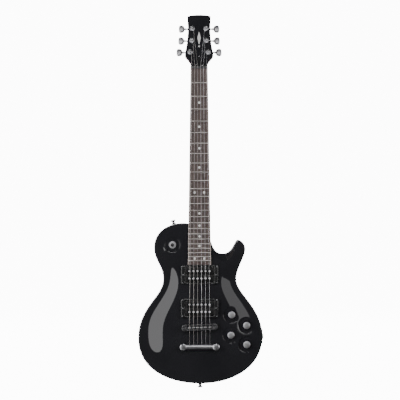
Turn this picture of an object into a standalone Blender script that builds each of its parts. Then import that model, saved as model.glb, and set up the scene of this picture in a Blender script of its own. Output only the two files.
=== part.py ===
"""Electric guitar: carved single-cutaway body, set neck, two pickups, fixed bridge.

Frame: metres, +Z up along the instrument, +X towards the treble side, the front
faces -Y. The origin is the middle of the nut's fretboard edge, on the playing surface.

Everything is modelled in "lying" coordinates (x across, y along, z out of the
front) under an empty that stands the guitar up. The neck and the headstock have
empties of their own, which carry their tilt.
"""
import math

import bmesh
import bpy
import numpy as np
from mathutils import Matrix, Vector
from mathutils.geometry import convex_hull_2d, delaunay_2d_cdt

OBJECT_NAME = "electric_guitar"
GAP = 0.0003                     # air between two pieces that meet

# --- strings and scale ---------------------------------------------------------------
SCALE_LENGTH = 0.62865
FRET_COUNT = 24
STRING_COUNT = 6
NUT_SPREAD = 0.0360              # first string to last, at the nut
BRIDGE_SPREAD = 0.0498           # the same at the saddles
STRING_RADIUS = 0.00045
NUT_STRING_HEIGHT = 0.0019       # string middle above the playing surface at the nut
SADDLE_STRING_HEIGHT = 0.0042    # the same over the saddles

# --- neck ---------------------------------------------------------------------------
NECK_ANGLE = math.radians(3.2)
NUT_WIDTH = 0.0426
BOARD_END_WIDTH = 0.0564
BOARD_OVERHANG = 0.0107          # wood past the last fret
BOARD_THICKNESS = 0.0060
BOARD_RADIUS = 0.305
FRET_HEIGHT = 0.0011
FRET_WIDTH = 0.0024
NECK_DEPTH_NUT = 0.0145
NECK_DEPTH_HEEL = 0.0180
HEEL_START = 0.289               # distance above the bridge where the heel begins to swell
HEEL_FULL = 0.250                # where it has its full depth
HEEL_END = 0.206                 # where it becomes the tenon
HEEL_BACK_STEP = 0.0014          # the heel stops this far short of the body's back
TENON_WIDTH = 0.040
TENON_SHARE = 0.585              # tenon depth as a share of the heel's
NUT_LENGTH = 0.0050
NUT_RISE = 0.0026                # nut top above the playing surface
TRUSS_ROD_RADIUS = 0.0025
TRUSS_ROD_COVER = 0.0035         # wood between the rod and the fretboard
ROD_END_MARGIN = 0.052           # rod's end short of the board's

# --- headstock ----------------------------------------------------------------------
HEAD_ANGLE = math.radians(13)
HEAD_THICKNESS = 0.0145
HEAD_LENGTH = 0.1410
# distance from the nut and half width, up the concave sides to the arched top
HEAD_STATIONS = (
    (0.0050, 0.0209), (0.0110, 0.0208), (0.0156, 0.0221), (0.0208, 0.0248), (0.0260, 0.0285),
    (0.0312, 0.0328), (0.0365, 0.0349), (0.0520, 0.0324), (0.0719, 0.0294), (0.1042, 0.0273),
    (0.1365, 0.0287), (0.1395, 0.0200), (HEAD_LENGTH, 0.0060),
)
COVER_PLATE_LENGTH = 0.030
COVER_PLATE_WIDTH = 0.024
COVER_PLATE_THICKNESS = 0.0016

# --- tuners -------------------------------------------------------------------------
POST_PLACES = ((0.0222, 0.0440), (0.0178, 0.0742), (0.0170, 0.1055))   # x, distance from the nut
BUTTON_REACH = (0.0487, 0.0443, 0.0432)                                # button middle from the centre line
POST_RADIUS = 0.0030
POST_RISE = 0.0120
POST_WAIST = 0.0024
GEAR_RADIUS = 0.0033
POST_BORE_CLEARANCE = 0.0006
BUSHING_RADIUS = 0.0048
TUNER_NUT_RADIUS = 0.0068
TUNER_NUT_HEIGHT = 0.0022
TUNER_BOX = (0.0160, 0.0200, 0.0122)
WORM_OFFSET = 0.0056             # worm shaft from the post, towards the top
WORM_DEPTH = 0.0064              # worm shaft behind the headstock's back
WORM_RADIUS = 0.0019
WORM_CLEARANCE = 0.0003
BUTTON_SIZE = (0.0145, 0.0204, 0.0090)

# --- body ---------------------------------------------------------------------------
BODY_RIM = 0.038                 # side wall at the tail, front edge to back
ARCH = 0.010                     # how far the carved top rises above the rim at the tail
ARCH_UPPER = 0.005               # the same at the upper bout
ARCH_SHIFT = (0.014, 0.164)      # distances above the bridge between which the rise changes
CARVE_MARGIN = 0.004             # level band round the edge
CARVE_REACH = 0.080              # run of the carve from that band to the plateau, at the tail
CARVE_REACH_UPPER = 0.046        # the same at the upper bout
REACH_SHIFT = (-0.036, 0.084)    # distances above the bridge between which the run changes
FRONT_ROUND = 0.0015
BACK_ROUND = 0.0050
SCOOP_SLOPE = 0.85
# x, distance above the bridge, heading in degrees, handle back, handle on: clockwise from the tail
OUTLINE = (
    (0.0010, -0.1387, 180, 0.0814, 0.0800), (-0.1506, -0.0275, 90, 0.0754, 0.0776),
    (-0.0889, 0.1187, 90, 0.0462, 0.0310), (-0.1112, 0.1945, 90, 0.0311, 0.0410),
    (-0.0380, 0.2546, 0, 0.0378, 0.0220), (0.0270, 0.2125, -70, 0.0200, 0.0187),
    (0.0570, 0.1793, 0, 0.0194, 0.0254), (0.0940, 0.2134, 0, 0.0089, 0.0056),
    (0.1122, 0.1905, -90, 0.0155, 0.0169), (0.0898, 0.1185, -90, 0.0227, 0.0399),
    (0.1536, -0.0235, -90, 0.0730, 0.0748),
)
OUTLINE_STEPS = 9
NET_SPACING = 0.017              # spacing of the carved top's inner points
# the crest of the cutaway's scoop, in the same form
SCOOP = ((0.0315, 0.1940, -75, 0.0, 0.018), (0.0600, 0.1612, 0, 0.016, 0.018),
         (0.0940, 0.2125, 75, 0.030, 0.0))
SCOOP_STEPS = 7

# --- pickups ------------------------------------------------------------------------
PICKUP_PLACES = {"neck": 0.1283, "bridge": 0.0467}     # distance above the bridge
PICKUP_STRING_GAP = 0.0030       # pickup top below the strings' middle
PICKUP_STAND = 0.0036            # pickup top above its ring
RING_SIZE = (0.0912, 0.0456)
RING_OPENING = (0.0716, 0.0386)
RING_CORNER = 0.004
OPENING_CORNER = 0.002
PICKUP_SIZE = (0.0700, 0.0370)
PICKUP_DEPTH = 0.014
BOBBIN_RISE = 0.0025
PICKUP_CAVITY_MARGIN = (0.0050, 0.0020)     # cavity wall from the pickup's side, across and along
PICKUP_CAVITY_DEPTH = 0.022

# --- bridge and tailpiece -----------------------------------------------------------
BRIDGE_SETBACK = 0.00535         # bridge middle beyond the scale length
BRIDGE_STRING_GAP = 0.00225      # bridge top below the strings' middle
BRIDGE_SLANT = math.radians(2.3)
BRIDGE_LENGTH = 0.0146
BRIDGE_HEIGHT = 0.0070
POST_MARGIN = 0.0115             # bridge post's middle beyond the outer string
BRIDGE_END = 0.0071              # bar's end beyond the post's middle
BRIDGE_POST_RADIUS = 0.0020
THUMBWHEEL_RADIUS = 0.0085
THUMBWHEEL_HEIGHT = 0.0022
POST_SINK = 0.020                # how far the bridge posts reach into the body
TROUGH_END = 0.0061              # trough's end beyond the outer string
TROUGH_LENGTH = 0.0096
TROUGH_FLOOR = 0.0012            # metal under the trough
SADDLE_SIZE = (0.0078, 0.0042)
SADDLE_WEDGE = 0.0028            # height of the saddle's ridge
TAIL_SETBACK = 0.048             # tailpiece middle below the bridge's
TAIL_DROP = 0.0004               # tailpiece top behind the bridge's
TAIL_SIZE = (0.0982, 0.0125, 0.0110)
STUD_SPAN = 0.0805
STUD_RADIUS = 0.0040
STUD_HEAD_RADIUS = 0.0082
STUD_HEAD_HEIGHT = 0.0030
STUD_COLLAR = 0.0020
STUD_SINK = 0.022                # how far the studs reach into the body

# --- controls -----------------------------------------------------------------------
KNOB_SPOTS = {                   # x, distance above the bridge
    "knob_neck_volume": (0.0785, 0.0302), "knob_bridge_volume": (0.1150, 0.0040),
    "knob_neck_tone": (0.0765, -0.0193), "knob_bridge_tone": (0.1153, -0.0429),
}
KNOB_RADIUS = 0.0092
KNOB_HEIGHT = 0.0150
KNOB_LIFT = 0.0008               # knob's foot above the dish
SHAFT_RADIUS = 0.0030
SHAFT_CLEARANCE = 0.0012
DISH_MARGIN = 0.0103             # dish edge from the knob's side
DISH_DEPTH = 0.0022
POT_RADIUS = 0.0120
POT_HEIGHT = 0.0090
POT_PLATE = 0.0012
CAVITY_MARGIN = 0.0170           # cavity wall from the nearest shaft's middle
CAVITY_ROOF = 0.0055             # cavity ceiling in front of the playing surface at the nut
LID_LEDGE = 0.0050
LID_THICKNESS = 0.0020
SHAFT_END = 0.0050               # shaft's end behind the pot's plate
TOGGLE_SPOT = (-0.0662, 0.2014)
TOGGLE_DISH_RADIUS = 0.0176
TOGGLE_NUT_RADIUS = 0.0090
TOGGLE_CAVITY_RADIUS = 0.0210
TOGGLE_BUSH_RADIUS = 0.0057
TOGGLE_BALL_RADIUS = 0.0034
TOGGLE_LENGTH = 0.0230
TOGGLE_FRAME = (0.0120, 0.0300, 0.0180)
TOGGLE_PIVOT_DEPTH = 0.0030      # ball's middle below the dish floor
TOGGLE_BUSH_LENGTH = 0.0148      # dish floor to the bush's lower end
TOGGLE_HEADROOM = 0.0010         # cavity ceiling above that end

# --- jack and strap buttons ---------------------------------------------------------
JACK_DROP = 0.024                # jack below the bridge
JACK_FLAT = 0.0020               # how far the plate is let into the rim
JACK_PLATE = (0.036, 0.028, 0.0020)
JACK_BORE = 0.0033
JACK_BARREL = 0.0047
JACK_NUT_RADIUS = 0.0070
JACK_LENGTH = 0.0290
STRAP_BUTTON_RADIUS = 0.0063
STRAP_BUTTON_HEIGHT = 0.0100
STRAP_SCREW_RADIUS = 0.0020
STRAP_SCREW_LENGTH = 0.020
STRAP_UPPER_X = -0.068
STRAP_LOWER_X = 0.0015

# --- places that follow from the sizes above ------------------------------------------
BRIDGE_Y = -(SCALE_LENGTH + BRIDGE_SETBACK)
TAIL_Y = BRIDGE_Y - TAIL_SETBACK
JACK_Y = BRIDGE_Y - JACK_DROP
BOARD_LENGTH = SCALE_LENGTH * (1 - 2 ** (-FRET_COUNT / 12)) + BOARD_OVERHANG
NECK_BASE = -BOARD_THICKNESS - GAP          # the neck's face, in the neck's frame
# the plateau meets the underside of the board's end
BODY_TOP = BOARD_LENGTH * math.sin(NECK_ANGLE) - BOARD_THICKNESS * math.cos(NECK_ANGLE) - GAP
RIM_TOP = BODY_TOP - ARCH
BODY_BACK = RIM_TOP - BODY_RIM
BRIDGE_TOP = -BRIDGE_Y * math.tan(NECK_ANGLE) + SADDLE_STRING_HEIGHT - BRIDGE_STRING_GAP
TAIL_TOP = BRIDGE_TOP - TAIL_DROP
BRIDGE_POST_SPAN = BRIDGE_SPREAD + 2 * POST_MARGIN
TROUGH_DEPTH = BRIDGE_HEIGHT - TROUGH_FLOOR
DISH_RADIUS = KNOB_RADIUS + DISH_MARGIN
KNOB_PLACES = {name: (x, BRIDGE_Y + above) for name, (x, above) in KNOB_SPOTS.items()}
TOGGLE_PLACE = (TOGGLE_SPOT[0], BRIDGE_Y + TOGGLE_SPOT[1])

# colour, roughness, metallic
FINISHES = {
    "lacquer": ((0.006, 0.006, 0.007), 0.08, 0.0),
    "mahogany": ((0.14, 0.055, 0.035), 0.35, 0.0),
    "rosewood": ((0.06, 0.042, 0.038), 0.5, 0.0),
    "black_plastic": ((0.012, 0.012, 0.013), 0.35, 0.0),
    "satin_nickel": ((0.34, 0.34, 0.35), 0.35, 1.0),
    "polished_steel": ((0.55, 0.55, 0.56), 0.2, 1.0),
    "dark_metal": ((0.05, 0.05, 0.055), 0.3, 1.0),
}


# --- building blocks ----------------------------------------------------------------
def clear_scene():
    """Start from an empty scene."""
    for old in list(bpy.data.objects):
        bpy.data.objects.remove(old, do_unlink=True)


def new_collection(name):
    """Add a collection to the scene."""
    made = bpy.data.collections.new(name)
    bpy.context.scene.collection.children.link(made)
    return made


def new_material(name, finish):
    """Give one piece its own Principled material."""
    color, roughness, metallic = FINISHES[finish]
    made = bpy.data.materials.new(name)
    made.use_nodes = True
    shader = made.node_tree.nodes["Principled BSDF"]
    shader.inputs["Base Color"].default_value = (*color, 1)
    shader.inputs["Roughness"].default_value = roughness
    shader.inputs["Metallic"].default_value = metallic
    made.diffuse_color = (*color, 1)
    return made


def add_empty(name, parent=None, location=(0, 0, 0), rotation=(0, 0, 0)):
    """A frame that pieces are placed in."""
    made = bpy.data.objects.new(name, None)
    parts.objects.link(made)
    made.parent = parent
    made.location = location
    made.rotation_euler = rotation
    return made


def add_piece(name, mesh, finish, parent, location=(0, 0, 0), rotation=(0, 0, 0)):
    """Link a mesh or curve as a named piece with its own material."""
    made = bpy.data.objects.new(name, mesh)
    parts.objects.link(made)
    made.parent = parent
    made.location = location
    made.rotation_euler = rotation
    mesh.materials.append(new_material(name, finish))
    return made


def add_cutter(mesh, parent, location=(0, 0, 0), rotation=(0, 0, 0)):
    """Link a mesh as a hidden tool for a Boolean."""
    made = bpy.data.objects.new("tool", mesh)
    tools.objects.link(made)
    made.parent = parent
    made.location = location
    made.rotation_euler = rotation
    made.hide_render = True
    made.display_type = "WIRE"
    return made


def boolean(piece, tool, operation="DIFFERENCE"):
    """Cut a tool out of a piece, or join it on."""
    step = piece.modifiers.new(operation.lower(), "BOOLEAN")
    step.operation = operation
    step.solver = "EXACT"
    step.object = tool


def finish_mesh(name, bm, smooth=True):
    """Close a bmesh into a mesh, round faces smooth and edges sharp."""
    bmesh.ops.recalc_face_normals(bm, faces=bm.faces)
    mesh = bpy.data.meshes.new(name)
    bm.to_mesh(mesh)
    bm.free()
    if smooth:
        mesh.shade_smooth()
        mesh.set_sharp_from_angle(angle=math.radians(35))
    return mesh


def box_mesh(size, bevel=0.0, middle=(0, 0, 0), segments=1):
    """A box of a full size, with its edges rounded when a bevel is given."""
    bm = bmesh.new()
    bmesh.ops.create_cube(bm, size=1)
    bmesh.ops.scale(bm, vec=size, verts=bm.verts)
    bmesh.ops.translate(bm, vec=middle, verts=bm.verts)
    if bevel:
        bmesh.ops.bevel(bm, geom=bm.edges[:], offset=bevel, segments=segments, profile=0.5, affect="EDGES")
    return finish_mesh("box", bm)


def cylinder_mesh(radius, low, high, sides=16, top_radius=None, along=None):
    """A cylinder or cone from low to high on its own Z, or turned along another axis."""
    bm = bmesh.new()
    bmesh.ops.create_cone(
        bm, cap_ends=True, segments=sides, radius1=radius,
        radius2=radius if top_radius is None else top_radius, depth=high - low,
        matrix=Matrix.Translation((0, 0, (low + high) / 2)),
    )
    if along is not None:
        turn = Vector((0, 0, 1)).rotation_difference(Vector(along)).to_matrix()
        bmesh.ops.rotate(bm, cent=(0, 0, 0), matrix=turn, verts=bm.verts)
    return finish_mesh("cylinder", bm)


def profile_mesh(points):
    """A polyline of (radius, height) from top to bottom, for the Screw modifier."""
    bm = bmesh.new()
    row = [bm.verts.new((radius, 0, height)) for radius, height in points]
    for first, second in zip(row, row[1:]):
        bm.edges.new((first, second))
    mesh = bpy.data.meshes.new("profile")
    bm.to_mesh(mesh)
    bm.free()
    return mesh


def turn_profile(piece, steps=24):
    """Spin a profile about its own Z."""
    spin = piece.modifiers.new("turned", "SCREW")
    spin.steps = spin.render_steps = steps
    spin.use_merge_vertices = True
    spin.merge_threshold = 0.0001
    spin.use_smooth_shade = True


def turned_piece(name, points, finish, parent, location=(0, 0, 0), rotation=(0, 0, 0), steps=24):
    """A lathe-turned piece; its profile may return to its start when it is a ring."""
    made = add_piece(name, profile_mesh(points), finish, parent, location, rotation)
    turn_profile(made, steps)
    return made


def plate_mesh(loops, low, high):
    """A flat outline, with further loops as holes, extruded between two heights."""
    curve = bpy.data.curves.new("outline", "CURVE")
    curve.dimensions = "2D"
    curve.fill_mode = "BOTH"
    curve.extrude = (high - low) / 2
    for loop in loops:
        spline = curve.splines.new("POLY")
        spline.points.add(len(loop) - 1)
        for point, (x, y) in zip(spline.points, loop):
            point.co = (x, y, 0, 1)
        spline.use_cyclic_u = True
    drawn = bpy.data.objects.new("outline", curve)
    bpy.context.scene.collection.objects.link(drawn)
    bpy.context.view_layer.update()
    seen = drawn.evaluated_get(bpy.context.evaluated_depsgraph_get())
    mesh = bpy.data.meshes.new_from_object(seen)
    bpy.data.objects.remove(drawn)
    bm = bmesh.new()
    bm.from_mesh(mesh)
    bmesh.ops.remove_doubles(bm, verts=bm.verts, dist=0.00001)
    bmesh.ops.translate(bm, vec=(0, 0, (low + high) / 2), verts=bm.verts)
    return finish_mesh("plate", bm)


def rounded_rectangle(width, height, corner, steps=4):
    """Corner arcs of a rectangle, anticlockwise."""
    loop = []
    for quarter, (sx, sy) in enumerate(((1, 1), (-1, 1), (-1, -1), (1, -1))):
        for step in range(steps + 1):
            angle = math.pi / 2 * (quarter + step / steps)
            loop.append((sx * (width / 2 - corner) + corner * math.cos(angle),
                         sy * (height / 2 - corner) + corner * math.sin(angle)))
    return loop


def round_hull(centres, radius, steps=16):
    """The outline of a string pulled round equal discs."""
    cloud = [(x + radius * math.cos(turn), y + radius * math.sin(turn))
             for x, y in centres for turn in np.linspace(0, 2 * math.pi, steps, endpoint=False)]
    return [cloud[index] for index in convex_hull_2d(cloud)]


def bezier_chain(nodes, steps, closed):
    """Points along cubic curves through (x, y, heading, handle back, handle on) nodes."""
    pairs = list(zip(nodes, nodes[1:] + nodes[:1] if closed else nodes[1:]))
    share = np.linspace(0, 1, steps, endpoint=False)[:, None]
    points = []
    for (x0, y0, head0, _, on0), (x1, y1, head1, back1, _) in pairs:
        start, end = np.array((x0, y0)), np.array((x1, y1))
        first = start + on0 * np.array((math.cos(math.radians(head0)), math.sin(math.radians(head0))))
        second = end - back1 * np.array((math.cos(math.radians(head1)), math.sin(math.radians(head1))))
        points.append((1 - share) ** 3 * start + 3 * (1 - share) ** 2 * share * first
                      + 3 * (1 - share) * share ** 2 * second + share ** 3 * end)
    if not closed:
        points.append(end[None, :])
    return np.vstack(points)


def loft_mesh(name, rings):
    """A closed skin over a row of rings with equal point counts."""
    bm = bmesh.new()
    rows = [[bm.verts.new(point) for point in ring] for ring in rings]
    count = len(rows[0])
    for low, high in zip(rows, rows[1:]):
        for i in range(count):
            j = (i + 1) % count
            bm.faces.new((low[i], low[j], high[j], high[i]))
    bm.faces.new(rows[0])
    bm.faces.new(rows[-1])
    return finish_mesh(name, bm)


# --- body ---------------------------------------------------------------------------
def distance_to_line(points, line, closed):
    """Shortest distance of each point from a polyline."""
    ends = np.roll(line, -1, axis=0) if closed else line[1:]
    starts = line if closed else line[:-1]
    runs = ends - starts
    offsets = points[:, None, :] - starts[None, :, :]
    along = np.clip((offsets * runs).sum(2) / (runs * runs).sum(1), 0, 1)
    return np.linalg.norm(offsets - along[..., None] * runs, axis=2).min(1)


def smooth_step(values, start, end):
    """0 before start, 1 after end, and an S-curve of the third power between them."""
    share = np.clip((values - start) / (end - start), 0, 1)
    return share ** 2 * (3 - 2 * share)


def carved_height(points):
    """Front surface of the body: a level margin, an S-shaped rise and a flat plateau.

    The rise is deep and wide round the lower bout, shallow and narrow round the upper
    one, which is planed at the neck's angle to seat the fretboard. Between the scoop's
    crest and the cutaway's edge the surface falls away in proportion to the distance
    from the crest.
    """
    points = np.atleast_2d(points)
    above = points[:, 1] - BRIDGE_Y
    arch = ARCH + (ARCH_UPPER - ARCH) * smooth_step(above, *ARCH_SHIFT)
    reach = CARVE_REACH + (CARVE_REACH_UPPER - CARVE_REACH) * smooth_step(above, *REACH_SHIFT)
    inward = distance_to_line(points, body_outline, True)
    height = BODY_TOP - arch * (1 - smooth_step(inward, CARVE_MARGIN, CARVE_MARGIN + reach))
    seat = -points[:, 1] * math.tan(NECK_ANGLE) - BOARD_THICKNESS / math.cos(NECK_ANGLE) - GAP
    height = np.minimum(height, seat)
    crest = np.interp(points[:, 0], scoop_line[:, 0], scoop_line[:, 1])
    inside = (points[:, 0] > scoop_line[0, 0]) & (points[:, 0] < scoop_line[-1, 0])
    inside &= points[:, 1] > crest
    return height - inside * SCOOP_SLOPE * distance_to_line(points, scoop_line, False)


def inset(line, amount):
    """A closed clockwise line moved inwards by an amount."""
    run = np.roll(line, -1, axis=0) - np.roll(line, 1, axis=0)
    run /= np.linalg.norm(run, axis=1)[:, None]
    return line + amount * np.column_stack((run[:, 1], -run[:, 0]))


def body_mesh():
    """Carved top over a triangle net, side wall, rounded back edge and flat back."""
    edge = inset(body_outline, FRONT_ROUND)
    spacing = NET_SPACING
    spots = []
    for row, y in enumerate(np.arange(body_outline[:, 1].min(), body_outline[:, 1].max(), spacing * 0.87)):
        for x in np.arange(body_outline[:, 0].min(), body_outline[:, 0].max(), spacing):
            spots.append((x + (row % 2) * spacing / 2, y))
    spots = np.array(spots)
    inside = np.array([inside_outline(spot) for spot in spots])
    clear = inside & (distance_to_line(spots, edge, True) > spacing * 0.45)
    clear &= distance_to_line(spots, scoop_line, False) > spacing * 0.4
    crest = scoop_line[1:-1]
    crest = crest[distance_to_line(crest, edge, True) > 0.0015]
    flat = np.vstack((edge, crest, spots[clear]))
    count = len(edge)
    rim_edges = [(i, (i + 1) % count) for i in range(count)]
    crest_edges = [(count + i, count + i + 1) for i in range(len(crest) - 1)]
    net = delaunay_2d_cdt([Vector(p) for p in flat], rim_edges + crest_edges, [], 1, 1e-6)
    top = np.array([tuple(p) for p in net[0]])
    heights = carved_height(top)
    bm = bmesh.new()
    verts = [bm.verts.new((x, y, z)) for (x, y), z in zip(top, heights)]
    for face in net[2]:
        bm.faces.new([verts[i] for i in face])
    rim = carved_height(edge)
    rings = [(body_outline, rim - FRONT_ROUND), (body_outline, BODY_BACK + BACK_ROUND),
             (inset(body_outline, BACK_ROUND * 0.3), BODY_BACK + BACK_ROUND * 0.3),
             (inset(body_outline, BACK_ROUND), BODY_BACK)]
    above = verts[:count]
    for line, level in rings:
        level = np.broadcast_to(level, count)
        below = [bm.verts.new((x, y, z)) for (x, y), z in zip(line, level)]
        for i in range(count):
            j = (i + 1) % count
            bm.faces.new((above[i], above[j], below[j], below[i]))
        above = below
    bm.faces.new(above)
    return finish_mesh("body", bm)


def inside_outline(spot):
    """Whether a spot lies within the body's outline."""
    x, y = spot
    a, b = body_outline, np.roll(body_outline, -1, axis=0)
    spans = (a[:, 1] > y) != (b[:, 1] > y)
    reach = a[:, 0] + (y - a[:, 1]) / np.where(spans, b[:, 1] - a[:, 1], 1) * (b[:, 0] - a[:, 0])
    return int((spans & (x < reach)).sum()) % 2 == 1


def make_body():
    """The body, with every pocket, bore and recess that the other pieces need."""
    body = add_piece("body", body_mesh(), "lacquer", front)
    boolean(body, add_cutter(neck_mesh(GAP), neck_frame))
    for above in PICKUP_PLACES.values():
        size = (*(side + 2 * margin for side, margin in zip(PICKUP_SIZE, PICKUP_CAVITY_MARGIN)),
                PICKUP_CAVITY_DEPTH + ARCH)
        boolean(body, add_cutter(box_mesh(size), front, (0, BRIDGE_Y + above, BODY_TOP + ARCH - size[2] / 2)))
    for x, y in KNOB_PLACES.values():
        floor = dish_floor(x, y)
        boolean(body, add_cutter(cylinder_mesh(DISH_RADIUS, floor, floor + ARCH * 2, 32), front, (x, y, 0)))
        bore = cylinder_mesh(SHAFT_RADIUS + SHAFT_CLEARANCE, CAVITY_ROOF - 0.002, floor + 0.001, 12)
        boolean(body, add_cutter(bore, front, (x, y, 0)))
    floor = dish_floor(*TOGGLE_PLACE)
    spot = (*TOGGLE_PLACE, 0)
    boolean(body, add_cutter(cylinder_mesh(TOGGLE_DISH_RADIUS, floor, floor + ARCH * 2, 32), front, spot))
    roof = floor - TOGGLE_BUSH_LENGTH + TOGGLE_HEADROOM
    bore = cylinder_mesh(TOGGLE_BUSH_RADIUS + GAP, roof - 0.001, floor + 0.001, 16)
    boolean(body, add_cutter(bore, front, spot))
    cavities = (((TOGGLE_PLACE,), TOGGLE_CAVITY_RADIUS, roof),
                (tuple(KNOB_PLACES.values()), CAVITY_MARGIN, CAVITY_ROOF))
    for centres, radius, roof in cavities:
        well = plate_mesh([round_hull(centres, radius)], BODY_BACK - 0.001, roof)
        boolean(body, add_cutter(well, front))
        ledge = plate_mesh([round_hull(centres, radius + LID_LEDGE + GAP)],
                           BODY_BACK - 0.001, BODY_BACK + LID_THICKNESS + GAP)
        boolean(body, add_cutter(ledge, front))
    for side in (-1, 1):
        x, y = bridge_spot(side * BRIDGE_POST_SPAN / 2)
        bore = cylinder_mesh(BRIDGE_POST_RADIUS + GAP, BODY_TOP - POST_SINK - 0.002, BODY_TOP + 0.002, 12)
        boolean(body, add_cutter(bore, front, (x, y, 0)))
        bore = cylinder_mesh(STUD_RADIUS + GAP, BODY_TOP - STUD_SINK - 0.002, BODY_TOP + 0.002, 16)
        boolean(body, add_cutter(bore, front, (side * STUD_SPAN / 2, TAIL_Y, 0)))
    jack_x, jack_z = jack_place()
    width, height, _ = JACK_PLATE
    flat = box_mesh((0.02, width + 2 * GAP, height + 2 * GAP), middle=(0.01, 0, 0))
    boolean(body, add_cutter(flat, front, (jack_x, JACK_Y, jack_z)))
    hole = cylinder_mesh(JACK_BARREL + GAP, -JACK_LENGTH - 0.011, 0.001, 16, along=(1, 0, 0))
    boolean(body, add_cutter(hole, front, (jack_x, JACK_Y, jack_z)))
    for place, rotation in strap_button_places().values():
        pilot = cylinder_mesh(STRAP_SCREW_RADIUS + GAP, -STRAP_SCREW_LENGTH - 0.001, 0.003, 12)
        boolean(body, add_cutter(pilot, front, place, rotation))


def dish_floor(x, y):
    """Level floor of the dish that a control stands in."""
    return float(carved_height(np.array((x, y)))[0]) - DISH_DEPTH


def jack_place():
    """Where the jack's axis meets the flat on the treble rim, and its height."""
    return float(body_outline[:, 0].max()) - JACK_FLAT, RIM_TOP - BODY_RIM / 2


def strap_button_places():
    """Foot and heading of the two strap buttons, square to the rim above and below."""
    middle = RIM_TOP - BODY_RIM / 2
    places = {}
    for name, x, way in (("strap_button_upper", STRAP_UPPER_X, 1), ("strap_button_lower", STRAP_LOWER_X, -1)):
        beside = np.abs(body_outline[:, 0] - x) < NET_SPACING
        reach = way * body_outline[:, 1] - 0.1 * np.abs(body_outline[:, 0] - x)
        i = int(np.argmax(np.where(beside, reach, -9)))
        run = body_outline[(i + 1) % len(body_outline)] - body_outline[i - 1]
        outward = np.array((-run[1], run[0])) / np.linalg.norm(run)
        foot = body_outline[i] + outward * (GAP * 2)
        heading = Vector((0, 0, 1)).rotation_difference(Vector((*outward, 0))).to_euler()
        places[name] = ((foot[0], foot[1], middle), tuple(heading))
    return places


def make_covers():
    """Flat lids let into the back over the control and switch cavities."""
    low, high = BODY_BACK, BODY_BACK + LID_THICKNESS
    lid = plate_mesh([round_hull(tuple(KNOB_PLACES.values()), CAVITY_MARGIN + LID_LEDGE)], low, high)
    add_piece("control_cover", lid, "black_plastic", front)
    lid = plate_mesh([round_hull((TOGGLE_PLACE,), TOGGLE_CAVITY_RADIUS + LID_LEDGE)], low, high)
    add_piece("switch_cover", lid, "black_plastic", front)


def make_strap_buttons():
    """Turned buttons with a waist, on screws into the rim."""
    r, h = STRAP_BUTTON_RADIUS, STRAP_BUTTON_HEIGHT
    profile = ((0, h), (r * 0.8, h), (r, h * 0.84), (r * 0.92, h * 0.66), (r * 0.5, h * 0.5),
               (r * 0.5, h * 0.3), (r * 0.8, 0), (STRAP_SCREW_RADIUS, 0),
               (STRAP_SCREW_RADIUS, -STRAP_SCREW_LENGTH), (0, -STRAP_SCREW_LENGTH))
    for name, (place, rotation) in strap_button_places().items():
        turned_piece(name, profile, "satin_nickel", front, place, rotation, 14)


def make_jack():
    """Socket with its nut on a flat plate on the treble rim."""
    x, z = jack_place()
    width, height, thick = JACK_PLATE
    plate = add_piece("jack_plate", plate_mesh([rounded_rectangle(width, height, 0.004)], 0, thick),
                      "satin_nickel", front, (x + GAP, JACK_Y, z), (math.pi / 2, 0, math.pi / 2))
    boolean(plate, add_cutter(cylinder_mesh(JACK_BARREL + GAP, -0.001, thick + 0.001, 16), front,
                              (x + GAP, JACK_Y, z), (0, math.pi / 2, 0)))
    top = thick + GAP * 2
    profile = ((JACK_BORE, top + 0.0022), (JACK_NUT_RADIUS, top + 0.0022), (JACK_NUT_RADIUS, top),
               (JACK_BARREL, top), (JACK_BARREL, -JACK_LENGTH), (JACK_BORE, -JACK_LENGTH),
               (JACK_BORE, top + 0.0022))
    turned_piece("jack_socket", profile, "polished_steel", front, (x, JACK_Y, z), (0, math.pi / 2, 0), 16)


# --- neck ---------------------------------------------------------------------------
def board_half_width(distance):
    """Half the fretboard's width at a distance below the nut."""
    return (NUT_WIDTH + (BOARD_END_WIDTH - NUT_WIDTH) * distance / BOARD_LENGTH) / 2


def neck_section(half_width, depth, squareness, grow):
    """Flat-fronted half superellipse as (x, height) pairs; high squareness gives a block."""
    turn = np.linspace(0, math.pi, 13)
    x = (half_width + grow) * np.sign(np.cos(turn)) * np.abs(np.cos(turn)) ** (2 / squareness)
    z = -(depth + grow) * np.sin(turn) ** (2 / squareness)
    x = np.concatenate((x, [-half_width - grow, half_width + grow]))
    z = np.concatenate((z, [grow, grow]))
    return x, z


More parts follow.
